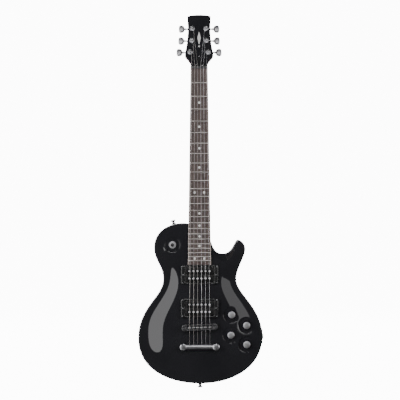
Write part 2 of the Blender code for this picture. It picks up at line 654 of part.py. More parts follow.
def neck_mesh(grow=0.0):
    """Neck, heel, tenon and headstock as one loft; grow swells it to cut its pocket.

    A station is a distance below the nut, half width, depth and squareness.
    """
    start, full, end = (-BRIDGE_Y - above for above in (HEEL_START, HEEL_FULL, HEEL_END))
    deep = (full * math.sin(NECK_ANGLE) - BODY_BACK - HEEL_BACK_STEP) / math.cos(NECK_ANGLE) + NECK_BASE
    tenon = deep * TENON_SHARE
    wide = board_half_width(full)
    middle = (NECK_DEPTH_HEEL + NECK_DEPTH_NUT) / 2
    stations = [
        (BOARD_LENGTH - 0.004 + grow, TENON_WIDTH / 2, tenon, 9), (end + 0.006, TENON_WIDTH / 2, tenon, 9),
        (end, board_half_width(end), deep, 5), (full, wide, deep, 4),
        (full - 0.007, wide, deep * 0.84, 3.2), (full - 0.013, wide, deep * 0.66, 2.8),
        (full - 0.022, wide, NECK_DEPTH_HEEL * 1.2, 2.5),
        (start, board_half_width(start), NECK_DEPTH_HEEL, 2.3),
        (start / 2, board_half_width(start / 2), middle, 2.3),
        (0.030, board_half_width(0.030), NECK_DEPTH_NUT, 2.3), (0, NUT_WIDTH / 2, NECK_DEPTH_NUT, 2.6),
    ]
    rings = []
    for distance, half_width, depth, squareness in stations:
        x, z = neck_section(half_width, depth, squareness, grow)
        rings.append(np.column_stack((x, np.full_like(x, -distance), z + NECK_BASE)))
    ahead = np.array((0, math.cos(HEAD_ANGLE), -math.sin(HEAD_ANGLE)))
    out = np.array((0, math.sin(HEAD_ANGLE), math.cos(HEAD_ANGLE)))
    for distance, half_width in HEAD_STATIONS:
        squareness = 3.5 if distance < 0.012 else 16
        x, z = neck_section(half_width, HEAD_THICKNESS, squareness, grow)
        middle_line = np.array((0, 0, NECK_BASE)) + distance * ahead
        rings.append(middle_line + x[:, None] * (1, 0, 0) + z[:, None] * out)
    return loft_mesh("neck", rings)


def make_neck():
    """Neck and headstock in one piece of wood, with the rod's channel and the tuners' holes."""
    neck = add_piece("neck", neck_mesh(), "mahogany", neck_frame)
    length, tall = BOARD_LENGTH - ROD_END_MARGIN, 0.020
    channel = box_mesh((TRUSS_ROD_RADIUS * 2 + 0.001, length + 0.030, tall),
                       middle=(0, -length / 2 + 0.013, tall / 2 + rod_depth() - TRUSS_ROD_RADIUS - GAP))
    boolean(neck, add_cutter(channel, neck_frame))
    for side in (-1, 1):
        for x, y in POST_PLACES:
            hole = cylinder_mesh(BUSHING_RADIUS + GAP, -HEAD_THICKNESS - 0.002, 0.002, 16)
            boolean(neck, add_cutter(hole, head_frame, (side * x, y, 0)))


def rod_depth():
    """Height of the truss rod's axis below the playing surface."""
    return NECK_BASE - TRUSS_ROD_COVER - TRUSS_ROD_RADIUS


def make_truss_rod():
    """Steel rod in the neck, with its adjusting nut in the headstock's pocket."""
    r, end = TRUSS_ROD_RADIUS, ROD_END_MARGIN - BOARD_LENGTH + 0.01
    profile = ((0, 0.011), (r * 1.1, 0.011), (r * 1.1, 0.001), (r, 0.001), (r, end), (0, end))
    turned_piece("truss_rod", profile, "polished_steel", neck_frame, (0, 0, rod_depth()),
                 (-math.pi / 2, 0, 0), 10)


def fret_distance(number):
    """Distance of a fret below the nut, in equal temperament."""
    return SCALE_LENGTH * (1 - 2 ** (-number / 12))


def make_fretboard():
    """Crowned board whose frets stand up as ridges of the same loft."""
    levels = [(0.0, 0.0)]
    for number in range(1, FRET_COUNT + 1):
        middle = fret_distance(number)
        levels += [(middle - FRET_WIDTH / 2, 0), (middle - FRET_WIDTH / 4, FRET_HEIGHT),
                   (middle + FRET_WIDTH / 4, FRET_HEIGHT), (middle + FRET_WIDTH / 2, 0)]
    levels.append((BOARD_LENGTH, 0.0))
    rings = []
    for distance, rise in levels:
        half = board_half_width(distance)
        x = np.linspace(-half, half, 5)
        crown = rise - x ** 2 / (2 * BOARD_RADIUS)
        x = np.concatenate((x, [half, -half]))
        z = np.concatenate((crown, [-BOARD_THICKNESS, -BOARD_THICKNESS]))
        rings.append(np.column_stack((x, np.full_like(x, -distance), z)))
    add_piece("fretboard", loft_mesh("fretboard", rings), "rosewood", neck_frame)


def make_nut():
    """Slotted nut between the fretboard and the headstock's face."""
    half, slot = NUT_WIDTH / 2, STRING_RADIUS + GAP
    floor = NUT_STRING_HEIGHT - STRING_RADIUS - GAP
    loop = [(-half, -BOARD_THICKNESS), (half, -BOARD_THICKNESS), (half, NUT_RISE - 0.0008)]
    for number in range(STRING_COUNT):
        x = NUT_SPREAD * (0.5 - number / (STRING_COUNT - 1))
        loop += [(x + slot, NUT_RISE), (x + slot, floor), (x - slot, floor), (x - slot, NUT_RISE)]
    loop.append((-half, NUT_RISE - 0.0008))
    block = plate_mesh([loop], -NUT_LENGTH, -GAP)
    nut = add_piece("nut", block, "black_plastic", neck_frame, (0, 0, 0), (math.pi / 2, 0, 0))
    ramp = box_mesh((NUT_WIDTH * 1.2, 0.03, 0.02), middle=(0, 0.01, -0.010 + GAP))
    boolean(nut, add_cutter(ramp, head_frame))


def make_truss_rod_cover():
    """Bell-shaped plate over the rod's pocket: a bulb that flares to a straight foot."""
    w, h = COVER_PLATE_WIDTH / 2, COVER_PLATE_LENGTH
    half = [(w, 0), (w * 0.92, h * 0.16), (w * 0.66, h * 0.38), (w * 0.50, h * 0.58), (w * 0.42, h * 0.78)]
    tip = [(w * 0.42 * math.cos(turn), h * 0.78 + h * 0.22 * math.sin(turn))
           for turn in np.linspace(0, math.pi, 7)[1:-1]]
    loop = half + tip + [(-x, y) for x, y in reversed(half)]
    plate = plate_mesh([loop], GAP, GAP + COVER_PLATE_THICKNESS)
    add_piece("truss_rod_cover", plate, "black_plastic", head_frame, (0, NUT_LENGTH + 0.0015, 0))


# --- strings ------------------------------------------------------------------------
def string_share(number):
    """Place of a string across the spread: +0.5 at string 1, -0.5 at the last."""
    return 0.5 - (number - 1) / (STRING_COUNT - 1)


def tuner_places():
    """String number to (side, post x, post distance, button reach)."""
    places = {}
    for row, ((x, y), reach) in enumerate(zip(POST_PLACES, BUTTON_REACH)):
        places[row + 1] = (1, x, y, reach)
        places[STRING_COUNT - row] = (-1, x, y, reach)
    return places


def bridge_spot(x):
    """A point on the bridge's slanted middle line."""
    return x, BRIDGE_Y + x * math.tan(BRIDGE_SLANT)


def saddle_spot(number):
    """Where a string crosses its saddle, in the lying frame, at the string's middle."""
    x, y = bridge_spot(BRIDGE_SPREAD * string_share(number))
    return Vector((x, y, -y * math.tan(NECK_ANGLE) + SADDLE_STRING_HEIGHT))


def make_strings():
    """Wires from post to nut, over the saddle and down to the tailpiece."""
    bpy.context.view_layer.update()
    to_front = front.matrix_world.inverted()
    from_neck = to_front @ neck_frame.matrix_world
    from_head = to_front @ head_frame.matrix_world
    for number, (side, post_x, post_y, _) in tuner_places().items():
        off = POST_WAIST + STRING_RADIUS + GAP
        saddle = saddle_spot(number)
        across = NUT_SPREAD * string_share(number)
        points = (
            from_head @ Vector((side * (post_x - off), post_y, 0.0075)),
            from_neck @ Vector((across, NUT_LENGTH, NUT_STRING_HEIGHT)),
            from_neck @ Vector((across, 0, NUT_STRING_HEIGHT)),
            saddle,
            Vector((saddle.x, TAIL_Y + TAIL_SIZE[1] / 2 + GAP, TAIL_TOP - 0.0065)),
        )
        curve = bpy.data.curves.new(f"string_{number}", "CURVE")
        curve.dimensions = "3D"
        curve.bevel_depth = STRING_RADIUS
        curve.bevel_resolution = 2
        curve.use_fill_caps = True
        spline = curve.splines.new("POLY")
        spline.points.add(len(points) - 1)
        for place, point in zip(spline.points, points):
            place.co = (*point, 1)
        add_piece(f"string_{number}", curve, "polished_steel", front)


# --- tuners -------------------------------------------------------------------------
def make_tuners():
    """Three machine heads a side: geared housing, string post, worm shaft with its button."""
    back = -HEAD_THICKNESS - GAP
    long_x, _, deep = TUNER_BOX
    worm_z = back - WORM_DEPTH
    for number, (side, x, y, reach) in tuner_places().items():
        spot = (side * x, y, 0)
        box = box_mesh(TUNER_BOX, 0.0022, middle=(0, WORM_OFFSET * 0.3, back - deep / 2))
        housing = add_piece(f"tuner_housing_{number}", box, "satin_nickel", head_frame, spot)
        bush = cylinder_mesh(BUSHING_RADIUS, back - 0.002, TUNER_NUT_HEIGHT, 12)
        boolean(housing, add_cutter(bush, head_frame, spot), "UNION")
        collar = cylinder_mesh(TUNER_NUT_RADIUS, GAP, TUNER_NUT_HEIGHT + 0.0001, 6)
        boolean(housing, add_cutter(collar, head_frame, spot), "UNION")
        well = cylinder_mesh(POST_RADIUS + POST_BORE_CLEARANCE, back - deep + 0.0016, 0.01, 12)
        boolean(housing, add_cutter(well, head_frame, spot))
        bore = cylinder_mesh(WORM_RADIUS + WORM_CLEARANCE, -long_x * 0.32, long_x, 10, along=(side, 0, 0))
        boolean(housing, add_cutter(bore, head_frame, (side * x, y + WORM_OFFSET, worm_z)))
        low = back - deep + 0.0022
        post = ((0, POST_RISE), (POST_RADIUS * 0.9, POST_RISE), (POST_RADIUS, POST_RISE - 0.0006),
                (POST_RADIUS, 0.0095), (POST_WAIST, 0.0085), (POST_WAIST, 0.0060), (POST_RADIUS, 0.0045),
                (POST_RADIUS, low + 0.006), (GEAR_RADIUS, low + 0.006), (GEAR_RADIUS, low), (0, low))
        turned_piece(f"tuner_post_{number}", post, "polished_steel", head_frame, spot, steps=12)
        make_tuner_button(number, side, x, y + WORM_OFFSET, worm_z, reach)


def make_tuner_button(number, side, post_x, y, z, reach):
    """Kidney button, flattened towards the front, on its worm shaft."""
    width = BUTTON_SIZE[0]
    bm = bmesh.new()
    bmesh.ops.create_uvsphere(bm, u_segments=12, v_segments=7, radius=0.5)
    for vert in bm.verts:
        vert.co.x = math.copysign(abs(vert.co.x * 2) ** 0.7, vert.co.x) / 2
    bmesh.ops.scale(bm, vec=BUTTON_SIZE, verts=bm.verts)
    button = add_piece(f"tuner_button_{number}", finish_mesh("button", bm), "satin_nickel",
                       head_frame, (side * reach, y, z))
    shaft = cylinder_mesh(WORM_RADIUS, -(reach - post_x) - TUNER_BOX[0] * 0.30, -width * 0.3, 10,
                          along=(side, 0, 0))
    boolean(button, add_cutter(shaft, head_frame, (side * reach, y, z)), "UNION")
    collar = cylinder_mesh(0.0034, -width / 2 - 0.0022, -width * 0.3, 10, along=(side, 0, 0))
    boolean(button, add_cutter(collar, head_frame, (side * reach, y, z)), "UNION")


# --- pickups ------------------------------------------------------------------------
def make_pickups():
    """Two double-coil pickups in mounting rings, free to rise and sink on their screws."""
    for name, above in PICKUP_PLACES.items():
        y = BRIDGE_Y + above
        share = -y / SCALE_LENGTH
        strings = NUT_STRING_HEIGHT + share * (SADDLE_STRING_HEIGHT - NUT_STRING_HEIGHT)
        top = -y * math.tan(NECK_ANGLE) + strings - PICKUP_STRING_GAP
        loops = [rounded_rectangle(*RING_SIZE, RING_CORNER), rounded_rectangle(*RING_OPENING, OPENING_CORNER)]
        ring = plate_mesh(loops, BODY_TOP + GAP, top - PICKUP_STAND)
        add_piece(f"pickup_ring_{name}", ring, "black_plastic", front, (0, y, 0))
        width, length = PICKUP_SIZE
        base_top = -BOBBIN_RISE
        base = box_mesh((width, length, PICKUP_DEPTH - BOBBIN_RISE), 0.001,
                        middle=(0, 0, (base_top - PICKUP_DEPTH) / 2))
        pickup = add_piece(f"pickup_{name}", base, "black_plastic", front, (0, y, top))
        bobbin = length / 2 - 0.0004
        for side in (-1, 1):
            bar = plate_mesh([rounded_rectangle(width - 0.001, bobbin, 0.004)], base_top - 0.001, 0)
            boolean(pickup, add_cutter(bar, front, (0, y + side * length / 4, top)), "UNION")


# --- bridge and tailpiece -----------------------------------------------------------
def make_bridge():
    """Bar on two posts with thumbwheels; six saddles slide in its trough."""
    slanted = (0, 0, BRIDGE_SLANT)
    width, length, height = BRIDGE_POST_SPAN + 2 * BRIDGE_END, BRIDGE_LENGTH, BRIDGE_HEIGHT
    bar = plate_mesh([rounded_rectangle(width, length, length * 0.32)], -height, 0)
    bridge = add_piece("bridge_body", bar, "satin_nickel", front, (0, BRIDGE_Y, BRIDGE_TOP), slanted)
    across = BRIDGE_SPREAD + 2 * TROUGH_END
    trough = box_mesh((across, TROUGH_LENGTH, TROUGH_DEPTH * 2))
    boolean(bridge, add_cutter(trough, front, (0, BRIDGE_Y, BRIDGE_TOP), slanted))
    bottom = BRIDGE_TOP - height - GAP
    for name, side in (("bass", -1), ("treble", 1)):
        x, y = bridge_spot(side * BRIDGE_POST_SPAN / 2)
        hole = cylinder_mesh(BRIDGE_POST_RADIUS + GAP, BRIDGE_TOP - height - 0.001, BRIDGE_TOP + 0.001, 12)
        boolean(bridge, add_cutter(hole, front, (x, y, 0)))
        r, wheel = BRIDGE_POST_RADIUS, THUMBWHEEL_RADIUS
        top, low, end = BRIDGE_TOP + 0.0005, bottom - THUMBWHEEL_HEIGHT, BODY_TOP - POST_SINK
        post = ((0, top), (r, top), (r, bottom), (wheel, bottom), (wheel, low), (r, low), (r, end), (0, end))
        turned_piece(f"bridge_post_{name}", post, "polished_steel", front, (x, y, 0), steps=16)
    for number in range(1, STRING_COUNT + 1):
        make_saddle(number)


def make_saddle(number):
    """Wedge with its crest under the string, sliding along the neck's direction."""
    spot = saddle_spot(number)
    wide, long = SADDLE_SIZE[0] / 2, SADDLE_SIZE[1] / 2
    low = BRIDGE_TOP - TROUGH_DEPTH + GAP
    crest = spot.z - STRING_RADIUS - GAP
    shoulder, flat = crest - SADDLE_WEDGE, 0.0004
    side = [(-long, low), (long, low), (long, shoulder), (flat, crest), (-flat, crest), (-long, shoulder)]
    block = plate_mesh([side], -wide, wide)
    block.transform(Matrix.Rotation(math.pi / 2, 4, "Z") @ Matrix.Rotation(math.pi / 2, 4, "X"))
    add_piece(f"saddle_{number}", block, "satin_nickel", front, (spot.x, spot.y, 0), (0, 0, BRIDGE_SLANT))


def make_tailpiece():
    """Stop bar hooked on two studs; its slots open towards the neck."""
    _, length, height = TAIL_SIZE
    bar = add_piece("tailpiece", box_mesh(TAIL_SIZE, 0.0034, segments=3), "satin_nickel", front,
                    (0, TAIL_Y, TAIL_TOP - height / 2))
    low = TAIL_TOP - height
    for name, side in (("bass", -1), ("treble", 1)):
        x = side * STUD_SPAN / 2
        slot = box_mesh((2 * (STUD_RADIUS + GAP), length, height * 2), middle=(0, length / 2, 0))
        boolean(bar, add_cutter(slot, front, (x, TAIL_Y, TAIL_TOP)))
        seat = cylinder_mesh(STUD_RADIUS + GAP, low - 0.001, TAIL_TOP + 0.001, 16)
        boolean(bar, add_cutter(seat, front, (x, TAIL_Y, 0)))
        r, head = STUD_RADIUS, STUD_HEAD_RADIUS
        top = TAIL_TOP + GAP + STUD_HEAD_HEIGHT
        collar, end = head * 0.9, BODY_TOP - STUD_SINK
        stud = ((0, top), (collar, top), (head, top - 0.0008), (head, TAIL_TOP + GAP), (r, TAIL_TOP + GAP),
                (r, low - GAP), (collar, low - GAP), (collar, low - STUD_COLLAR), (r, low - STUD_COLLAR),
                (r, end), (0, end))
        turned_piece(f"tailpiece_stud_{name}", stud, "polished_steel", front, (x, TAIL_Y, 0), steps=16)


# --- controls -----------------------------------------------------------------------
def make_knobs():
    """Domed metal knobs, each with the potentiometer shaft that it is pressed on."""
    shaft_end = CAVITY_ROOF - POT_PLATE - SHAFT_END
    for name, (x, y) in KNOB_PLACES.items():
        foot = dish_floor(x, y) + KNOB_LIFT
        top = foot + KNOB_HEIGHT
        r = KNOB_RADIUS
        profile = ((0, top), (r * 0.5, top - 0.0002), (r * 0.86, top - 0.0008), (r * 0.97, top - 0.0020),
                   (r, top - 0.0040), (r, foot), (SHAFT_RADIUS, foot),
                   (SHAFT_RADIUS, shaft_end), (0, shaft_end))
        turned_piece(name, profile, "satin_nickel", front, (x, y, 0), steps=20)


def make_pots():
    """The four potentiometers under one grounding plate in the control cavity."""
    centres = tuple(KNOB_PLACES.values())
    top = CAVITY_ROOF - GAP
    plate = plate_mesh([round_hull(centres, POT_RADIUS, 12)], top - POT_PLATE, top)
    pots = add_piece("potentiometers", plate, "dark_metal", front)
    for x, y in centres:
        can = cylinder_mesh(POT_RADIUS, top - POT_PLATE - POT_HEIGHT, top - POT_PLATE / 2, 12)
        boolean(pots, add_cutter(can, front, (x, y, 0)), "UNION")
    for x, y in centres:
        hole = cylinder_mesh(SHAFT_RADIUS + GAP, CAVITY_ROOF - POT_PLATE - SHAFT_END - 0.0005,
                             CAVITY_ROOF + 0.001, 10)
        boolean(pots, add_cutter(hole, front, (x, y, 0)))


def make_toggle():
    """Three-way switch: threaded bush with its nut, contact frame below, swinging lever."""
    floor = dish_floor(*TOGGLE_PLACE)
    spot = (*TOGGLE_PLACE, 0)
    bush, ball = TOGGLE_BUSH_RADIUS, TOGGLE_BALL_RADIUS
    nut_top = floor + GAP + 0.0024
    under = floor - TOGGLE_BUSH_LENGTH
    nut, mouth, socket = TOGGLE_NUT_RADIUS, bush - 0.0004, ball + 0.0006
    profile = ((mouth, nut_top + 0.0006), (nut * 0.9, nut_top), (nut, nut_top - 0.0007), (nut, floor + GAP),
               (bush, floor + GAP), (bush, under), (socket, under), (socket, floor - 0.001),
               (mouth, nut_top + 0.0006))
    switch = turned_piece("toggle_switch", profile, "polished_steel", front, spot, steps=16)
    frame = box_mesh(TOGGLE_FRAME, 0.001, middle=(0, 0, under + GAP - TOGGLE_FRAME[2] / 2))
    boolean(switch, add_cutter(frame, front, spot), "UNION")
    slot = cylinder_mesh(ball + 0.0012, under - 0.007, under + 0.0008, 16)
    boolean(switch, add_cutter(slot, front, spot))
    pivot = floor - TOGGLE_PIVOT_DEPTH
    tip, stem, tail = TOGGLE_LENGTH, 0.0017, -0.0070
    lever = ((0, tip), (0.0028, tip - 0.0006), (0.0040, tip - 0.0026), (0.0042, tip - 0.0050),
             (0.0036, tip - 0.0090), (0.0026, tip - 0.0120), (stem, tip - 0.0122), (stem, ball * 0.87),
             (ball * 0.87, ball * 0.5), (ball, 0), (ball * 0.87, -ball * 0.5), (stem, -ball * 0.87),
             (0.0012, tail), (0, tail))
    turned_piece("toggle_lever", lever, "black_plastic", front, (*TOGGLE_PLACE, pivot), steps=12)


clear_scene()
parts = new_collection(OBJECT_NAME)
tools = new_collection("tools")
body_outline = bezier_chain(OUTLINE, OUTLINE_STEPS, True) + (0, BRIDGE_Y)
scoop_line = bezier_chain(SCOOP, SCOOP_STEPS, False) + (0, BRIDGE_Y)
front = add_empty("front", rotation=(math.pi / 2, 0, 0))
neck_frame = add_empty("neck_frame", front, rotation=(-NECK_ANGLE, 0, 0))
head_frame = add_empty("head_frame", neck_frame, (0, 0, NECK_BASE), (-HEAD_ANGLE, 0, 0))

make_body()
make_covers()
make_strap_buttons()
make_jack()
make_neck()
make_truss_rod()
make_fretboard()
make_nut()
make_truss_rod_cover()
make_strings()
make_tuners()
make_pickups()
make_bridge()
make_tailpiece()
make_knobs()
make_pots()
make_toggle()
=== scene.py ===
import math
import bmesh
import bpy
import numpy as np
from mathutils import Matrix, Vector
from mathutils.geometry import convex_hull_2d, delaunay_2d_cdt


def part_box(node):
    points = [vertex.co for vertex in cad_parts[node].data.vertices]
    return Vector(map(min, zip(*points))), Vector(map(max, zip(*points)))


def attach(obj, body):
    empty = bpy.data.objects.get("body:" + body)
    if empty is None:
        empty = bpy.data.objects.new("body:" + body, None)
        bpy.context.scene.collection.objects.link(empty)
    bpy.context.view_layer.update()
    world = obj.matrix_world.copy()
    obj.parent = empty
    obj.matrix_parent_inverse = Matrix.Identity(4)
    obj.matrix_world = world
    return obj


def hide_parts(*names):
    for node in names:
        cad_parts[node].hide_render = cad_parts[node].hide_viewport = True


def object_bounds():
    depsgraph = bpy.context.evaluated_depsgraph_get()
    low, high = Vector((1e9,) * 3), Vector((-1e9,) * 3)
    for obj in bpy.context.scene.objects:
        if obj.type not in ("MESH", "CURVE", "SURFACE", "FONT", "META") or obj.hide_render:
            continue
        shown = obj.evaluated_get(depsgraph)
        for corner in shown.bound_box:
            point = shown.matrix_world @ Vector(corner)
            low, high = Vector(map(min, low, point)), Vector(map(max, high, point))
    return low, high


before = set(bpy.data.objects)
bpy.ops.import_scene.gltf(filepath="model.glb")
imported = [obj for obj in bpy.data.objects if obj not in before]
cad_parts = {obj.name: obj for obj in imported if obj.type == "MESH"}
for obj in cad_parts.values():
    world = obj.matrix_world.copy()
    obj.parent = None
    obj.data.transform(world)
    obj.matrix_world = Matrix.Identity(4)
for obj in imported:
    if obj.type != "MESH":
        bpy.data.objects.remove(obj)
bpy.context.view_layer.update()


# ====================================================================================
# Body. One slab of mahogany with a carved cap, sprayed with black polyester lacquer
# and buffed to a mirror. The cutaway is scooped, the controls stand in level dishes,
# and the pickups hang in routed pockets.
# ====================================================================================
BODY_TOP = 0.02063
ARCH = 0.010                     # rise of the carve at the tail, and at the upper bout
ARCH_UPPER = 0.005
ARCH_SHIFT = (-0.620, -0.470)
RIM_TOP = BODY_TOP - ARCH
BODY_BACK = RIM_TOP - 0.038
CARVE_MARGIN = 0.004
CARVE_REACH = 0.080              # run of the carve, likewise
CARVE_REACH_UPPER = 0.046
REACH_SHIFT = (-0.670, -0.550)
SEAT_SLOPE = 0.0559              # the upper bout's plane under the fretboard
SEAT_DROP = 0.0063
SCOOP_SLOPE = 0.85
FRONT_ROUND = 0.0022
BACK_ROUND = 0.0050
NET = 0.0026                     # spacing of the carved top's points
# x, y, heading in degrees, handle back, handle on: clockwise from the tail
OUTLINE = (
    (0.0010, -0.7727, 180, 0.0814, 0.0800), (-0.1506, -0.6615, 90, 0.0754, 0.0776),
    (-0.0889, -0.5153, 90, 0.0462, 0.0310), (-0.1112, -0.4395, 90, 0.0311, 0.0410),
    (-0.0380, -0.3794, 0, 0.0378, 0.0220), (0.0270, -0.4215, -70, 0.0200, 0.0187),
    (0.0570, -0.4547, 0, 0.0194, 0.0254), (0.0940, -0.4206, 0, 0.0089, 0.0056),
    (0.1122, -0.4435, -90, 0.0155, 0.0169), (0.0898, -0.5155, -90, 0.0227, 0.0399),
    (0.1536, -0.6575, -90, 0.0730, 0.0748),
)
SCOOP = ((0.0315, -0.4400, -75, 0.0, 0.018), (0.0600, -0.4728, 0, 0.016, 0.018),
         (0.0940, -0.4215, 75, 0.030, 0.0))
DISH_DEPTH = 0.0022
# distance past the dish's edge, and the share of its depth cut away there
DISH_LIP = ((-0.0005, 1.0), (0.0000, 0.45), (0.0004, 0.16), (0.0010, 0.04), (0.0018, 0.0))
KNOBS = ("knob_neck_volume", "knob_bridge_volume", "knob_neck_tone", "knob_bridge_tone")
PICKUP_POCKET = (0.0800, 0.0410, 0.022)
LID_LEDGE = 0.0053
LID_RECESS = 0.0023

FRONT = np.array(((1, 0, 0, 0), (0, 0, -1, 0), (0, 1, 0, 0), (0, 0, 0, 1)), float)


def tilted(frame4, angle, origin=(0, 0, 0)):
    """The frame moved to an origin and turned about its own X by an angle."""
    c, s = math.cos(angle), math.sin(angle)
    turn = np.array(((1, 0, 0, origin[0]), (0, c, -s, origin[1]), (0, s, c, origin[2]), (0, 0, 0, 1)))
    return frame4 @ turn


def place(points, frame4):
    """Points of a frame carried into the guitar's upright frame."""
    points = np.asarray(points, float)
    return points @ frame4[:3, :3].T + frame4[:3, 3]


def middle(node):
    """A CAD node's middle in lying coordinates: x across, y along, z out of the front."""
    low, high = (np.array(corner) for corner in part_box(node))
    x, y, z = (low + high) / 2
    return np.array((x, z, -y))


def bezier_chain(nodes, steps, closed):
    """Cubic curves through (x, y, heading, handle back, handle on), each a weighted sum of four points."""
    pairs = list(zip(nodes, nodes[1:] + nodes[:1] if closed else nodes[1:]))
    share = np.linspace(0, 1, steps, endpoint=False)[:, None]
    points = []
    for (x0, y0, head0, _, on0), (x1, y1, head1, back1, _) in pairs:
        a, b = math.radians(head0), math.radians(head1)
        start, end = np.array((x0, y0)), np.array((x1, y1))
        first = start + on0 * np.array((math.cos(a), math.sin(a)))
        second = end - back1 * np.array((math.cos(b), math.sin(b)))
        points.append((1 - share) ** 3 * start + 3 * (1 - share) ** 2 * share * first
                      + 3 * (1 - share) * share ** 2 * second + share ** 3 * end)
    if not closed:
        points.append(end[None, :])
    return np.vstack(points)


def distance_to_line(points, line, closed=True):
    """Shortest distance of each point from a polyline: to its foot on each run, the least of all."""
    starts = line if closed else line[:-1]
    runs = (np.roll(line, -1, axis=0) if closed else line[1:]) - starts
    length = (runs * runs).sum(1)
    nearest = np.full(len(points), np.inf)
    for start, run, square in zip(starts, runs, length):
        offset = points - start
        along = np.clip(offset @ run / max(square, 1e-18), 0, 1)
        nearest = np.minimum(nearest, np.hypot(*(offset - along[:, None] * run).T))
    return nearest


def within(points, loop):
    """Even-odd test: how many of the loop's edges lie to the right of each point."""
    a, b = loop, np.roll(loop, -1, axis=0)
    inside = np.zeros(len(points), bool)
    for (ax, ay), (bx, by) in zip(a, b):
        spans = (ay > points[:, 1]) != (by > points[:, 1])
        if spans.any():
            inside ^= spans & (points[:, 0] < ax + (points[:, 1] - ay) / (by - ay) * (bx - ax))
    return inside


def inset(line, amount):
    """A closed line moved to its right by an amount: inwards when it runs clockwise."""
    run = np.roll(line, -1, axis=0) - np.roll(line, 1, axis=0)
    run = run / np.linalg.norm(run, axis=1)[:, None]
    return line + amount * np.column_stack((run[:, 1], -run[:, 0]))


def ring(centre, radius, count=64):
    """A circle of points, clockwise."""
    turn = -np.linspace(0, 2 * math.pi, count, endpoint=False)
    return np.column_stack((centre[0] + radius * np.cos(turn), centre[1] + radius * np.sin(turn)))


def rectangle(centre, width, height, corner, steps=6):
    """Straight sides joined by corner arcs, clockwise."""
    loop = []
    for quarter, (sx, sy) in enumerate(((1, 1), (-1, 1), (-1, -1), (1, -1))):
        turn = math.pi / 2 * (quarter + np.linspace(0, 1, steps + 1))
        loop.append(np.column_stack((sx * (width / 2 - corner) + corner * np.cos(turn),
                                     sy * (height / 2 - corner) + corner * np.sin(turn))))
    return (np.vstack(loop) + np.array(centre))[::-1]


def hull(centres, radius):
    """The outline of a string pulled round equal discs, clockwise."""
    cloud = np.vstack([ring(centre, radius, 48) for centre in centres])
    return np.array([cloud[i] for i in convex_hull_2d([tuple(p) for p in cloud])])[::-1]


def triangle_net(rim, loops, lines, spacing):
    """Triangles over the area inside a rim.

    Loops and lines are kept as edges; a staggered grid of points fills the rest.
    The rim's points come first.
    """
    (x0, y0), (x1, y1) = rim.min(0), rim.max(0)
    rows, columns = np.arange(y0, y1, spacing * 0.87), np.arange(x0, x1, spacing)
    x, y = np.meshgrid(columns, rows)
    x = x + (np.arange(len(rows)) % 2)[:, None] * spacing / 2
    spots = np.column_stack((x.ravel(), y.ravel()))
    spots = spots[within(spots, rim)]
    for loop in [rim, *loops]:
        spots = spots[distance_to_line(spots, loop) > spacing * 0.45]
    for line in lines:
        spots = spots[distance_to_line(spots, line, False) > spacing * 0.45]
    flat, edges = [], []
    for line, closed in [(rim, True), *((loop, True) for loop in loops), *((line, False) for line in lines)]:
        first = sum(len(part) for part in flat)
        count = len(line)
        edges += [(first + i, first + (i + 1) % count) for i in range(count if closed else count - 1)]
        flat.append(line)
    flat = np.vstack((*flat, spots))
    made = delaunay_2d_cdt([Vector(p) for p in flat], edges, [], 1, 1e-7)
    return np.array([tuple(p) for p in made[0]]), [list(face) for face in made[2]]


def add_piece(name, verts, faces, material, body="root", slot=None, replaces=(), sharp=35):
    """Makes one finished piece: faces turned outwards, round parts smooth, riding on its body."""
    mesh = bpy.data.meshes.new(name)
    mesh.from_pydata(np.asarray(verts, float).tolist(), [], faces)
    bm = bmesh.new()
    bm.from_mesh(mesh)
    bmesh.ops.recalc_face_normals(bm, faces=bm.faces)
    bm.to_mesh(mesh)
    bm.free()
    mesh.shade_smooth()
    mesh.set_sharp_from_angle(angle=math.radians(sharp))
    mesh.materials.append(material)
    made = bpy.data.objects.new(name, mesh)
    bpy.context.scene.collection.objects.link(made)
    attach(made, body)
    if replaces:
        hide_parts(*replaces)


def band(above, below, count):
    """Four-sided faces between two closed rows of vertex numbers."""
    return [[above + i, above + (i + 1) % count, below + (i + 1) % count, below + i] for i in range(count)]


def linear(code):
    """An sRGB hex colour as linear RGBA."""
    parts = np.array([int(code[i:i + 2], 16) for i in (0, 2, 4)]) / 255
    values = np.where(parts <= 0.04045, parts / 12.92, ((parts + 0.055) / 1.055) ** 2.4)
    return (*values.tolist(), 1.0)


def add_node(tree, kind, settings=(), links=()):
    """Adds a node; a setting is an attribute of it, or else the value of its input."""
    node = tree.nodes.new(kind)
    for key, value in dict(settings).items():
        if isinstance(key, str) and hasattr(node, key):
            setattr(node, key, value)
        else:
            node.inputs[key].default_value = value
    for key, source in dict(links).items():
        tree.links.new(source, node.inputs[key])
    return node


def new_material(name, **shader_settings):
    """A material with its Principled shader set; returns it with its tree and shader."""
    material = bpy.data.materials.new(name)
    material.use_nodes = True
    shader = material.node_tree.nodes["Principled BSDF"]
    for key, value in shader_settings.items():
        shader.inputs[key.replace("_", " ")].default_value = value
    return material, material.node_tree, shader


def object_pattern(tree, kind, settings, stretch=(1, 1, 1), turn=(0, 0, 0)):
    """A texture on Object coordinates, stretched by factors along the three axes."""
    spot = add_node(tree, "ShaderNodeTexCoord")
    mapped = add_node(tree, "ShaderNodeMapping", {"Scale": stretch, "Rotation": turn},
                      {"Vector": spot.outputs["Object"]})
    return add_node(tree, kind, settings, {"Vector": mapped.outputs["Vector"]})


def color_steps(tree, factor, stops):
    """A ramp from a factor to sRGB hex colours at given places."""
    ramp = add_node(tree, "ShaderNodeValToRGB", {}, {"Fac": factor})
    while len(ramp.color_ramp.elements) < len(stops):
        ramp.color_ramp.elements.new(0.5)
    for element, (spot, code) in zip(ramp.color_ramp.elements, stops):
        element.position = spot
        element.color = linear(code)
    return ramp.outputs["Color"]


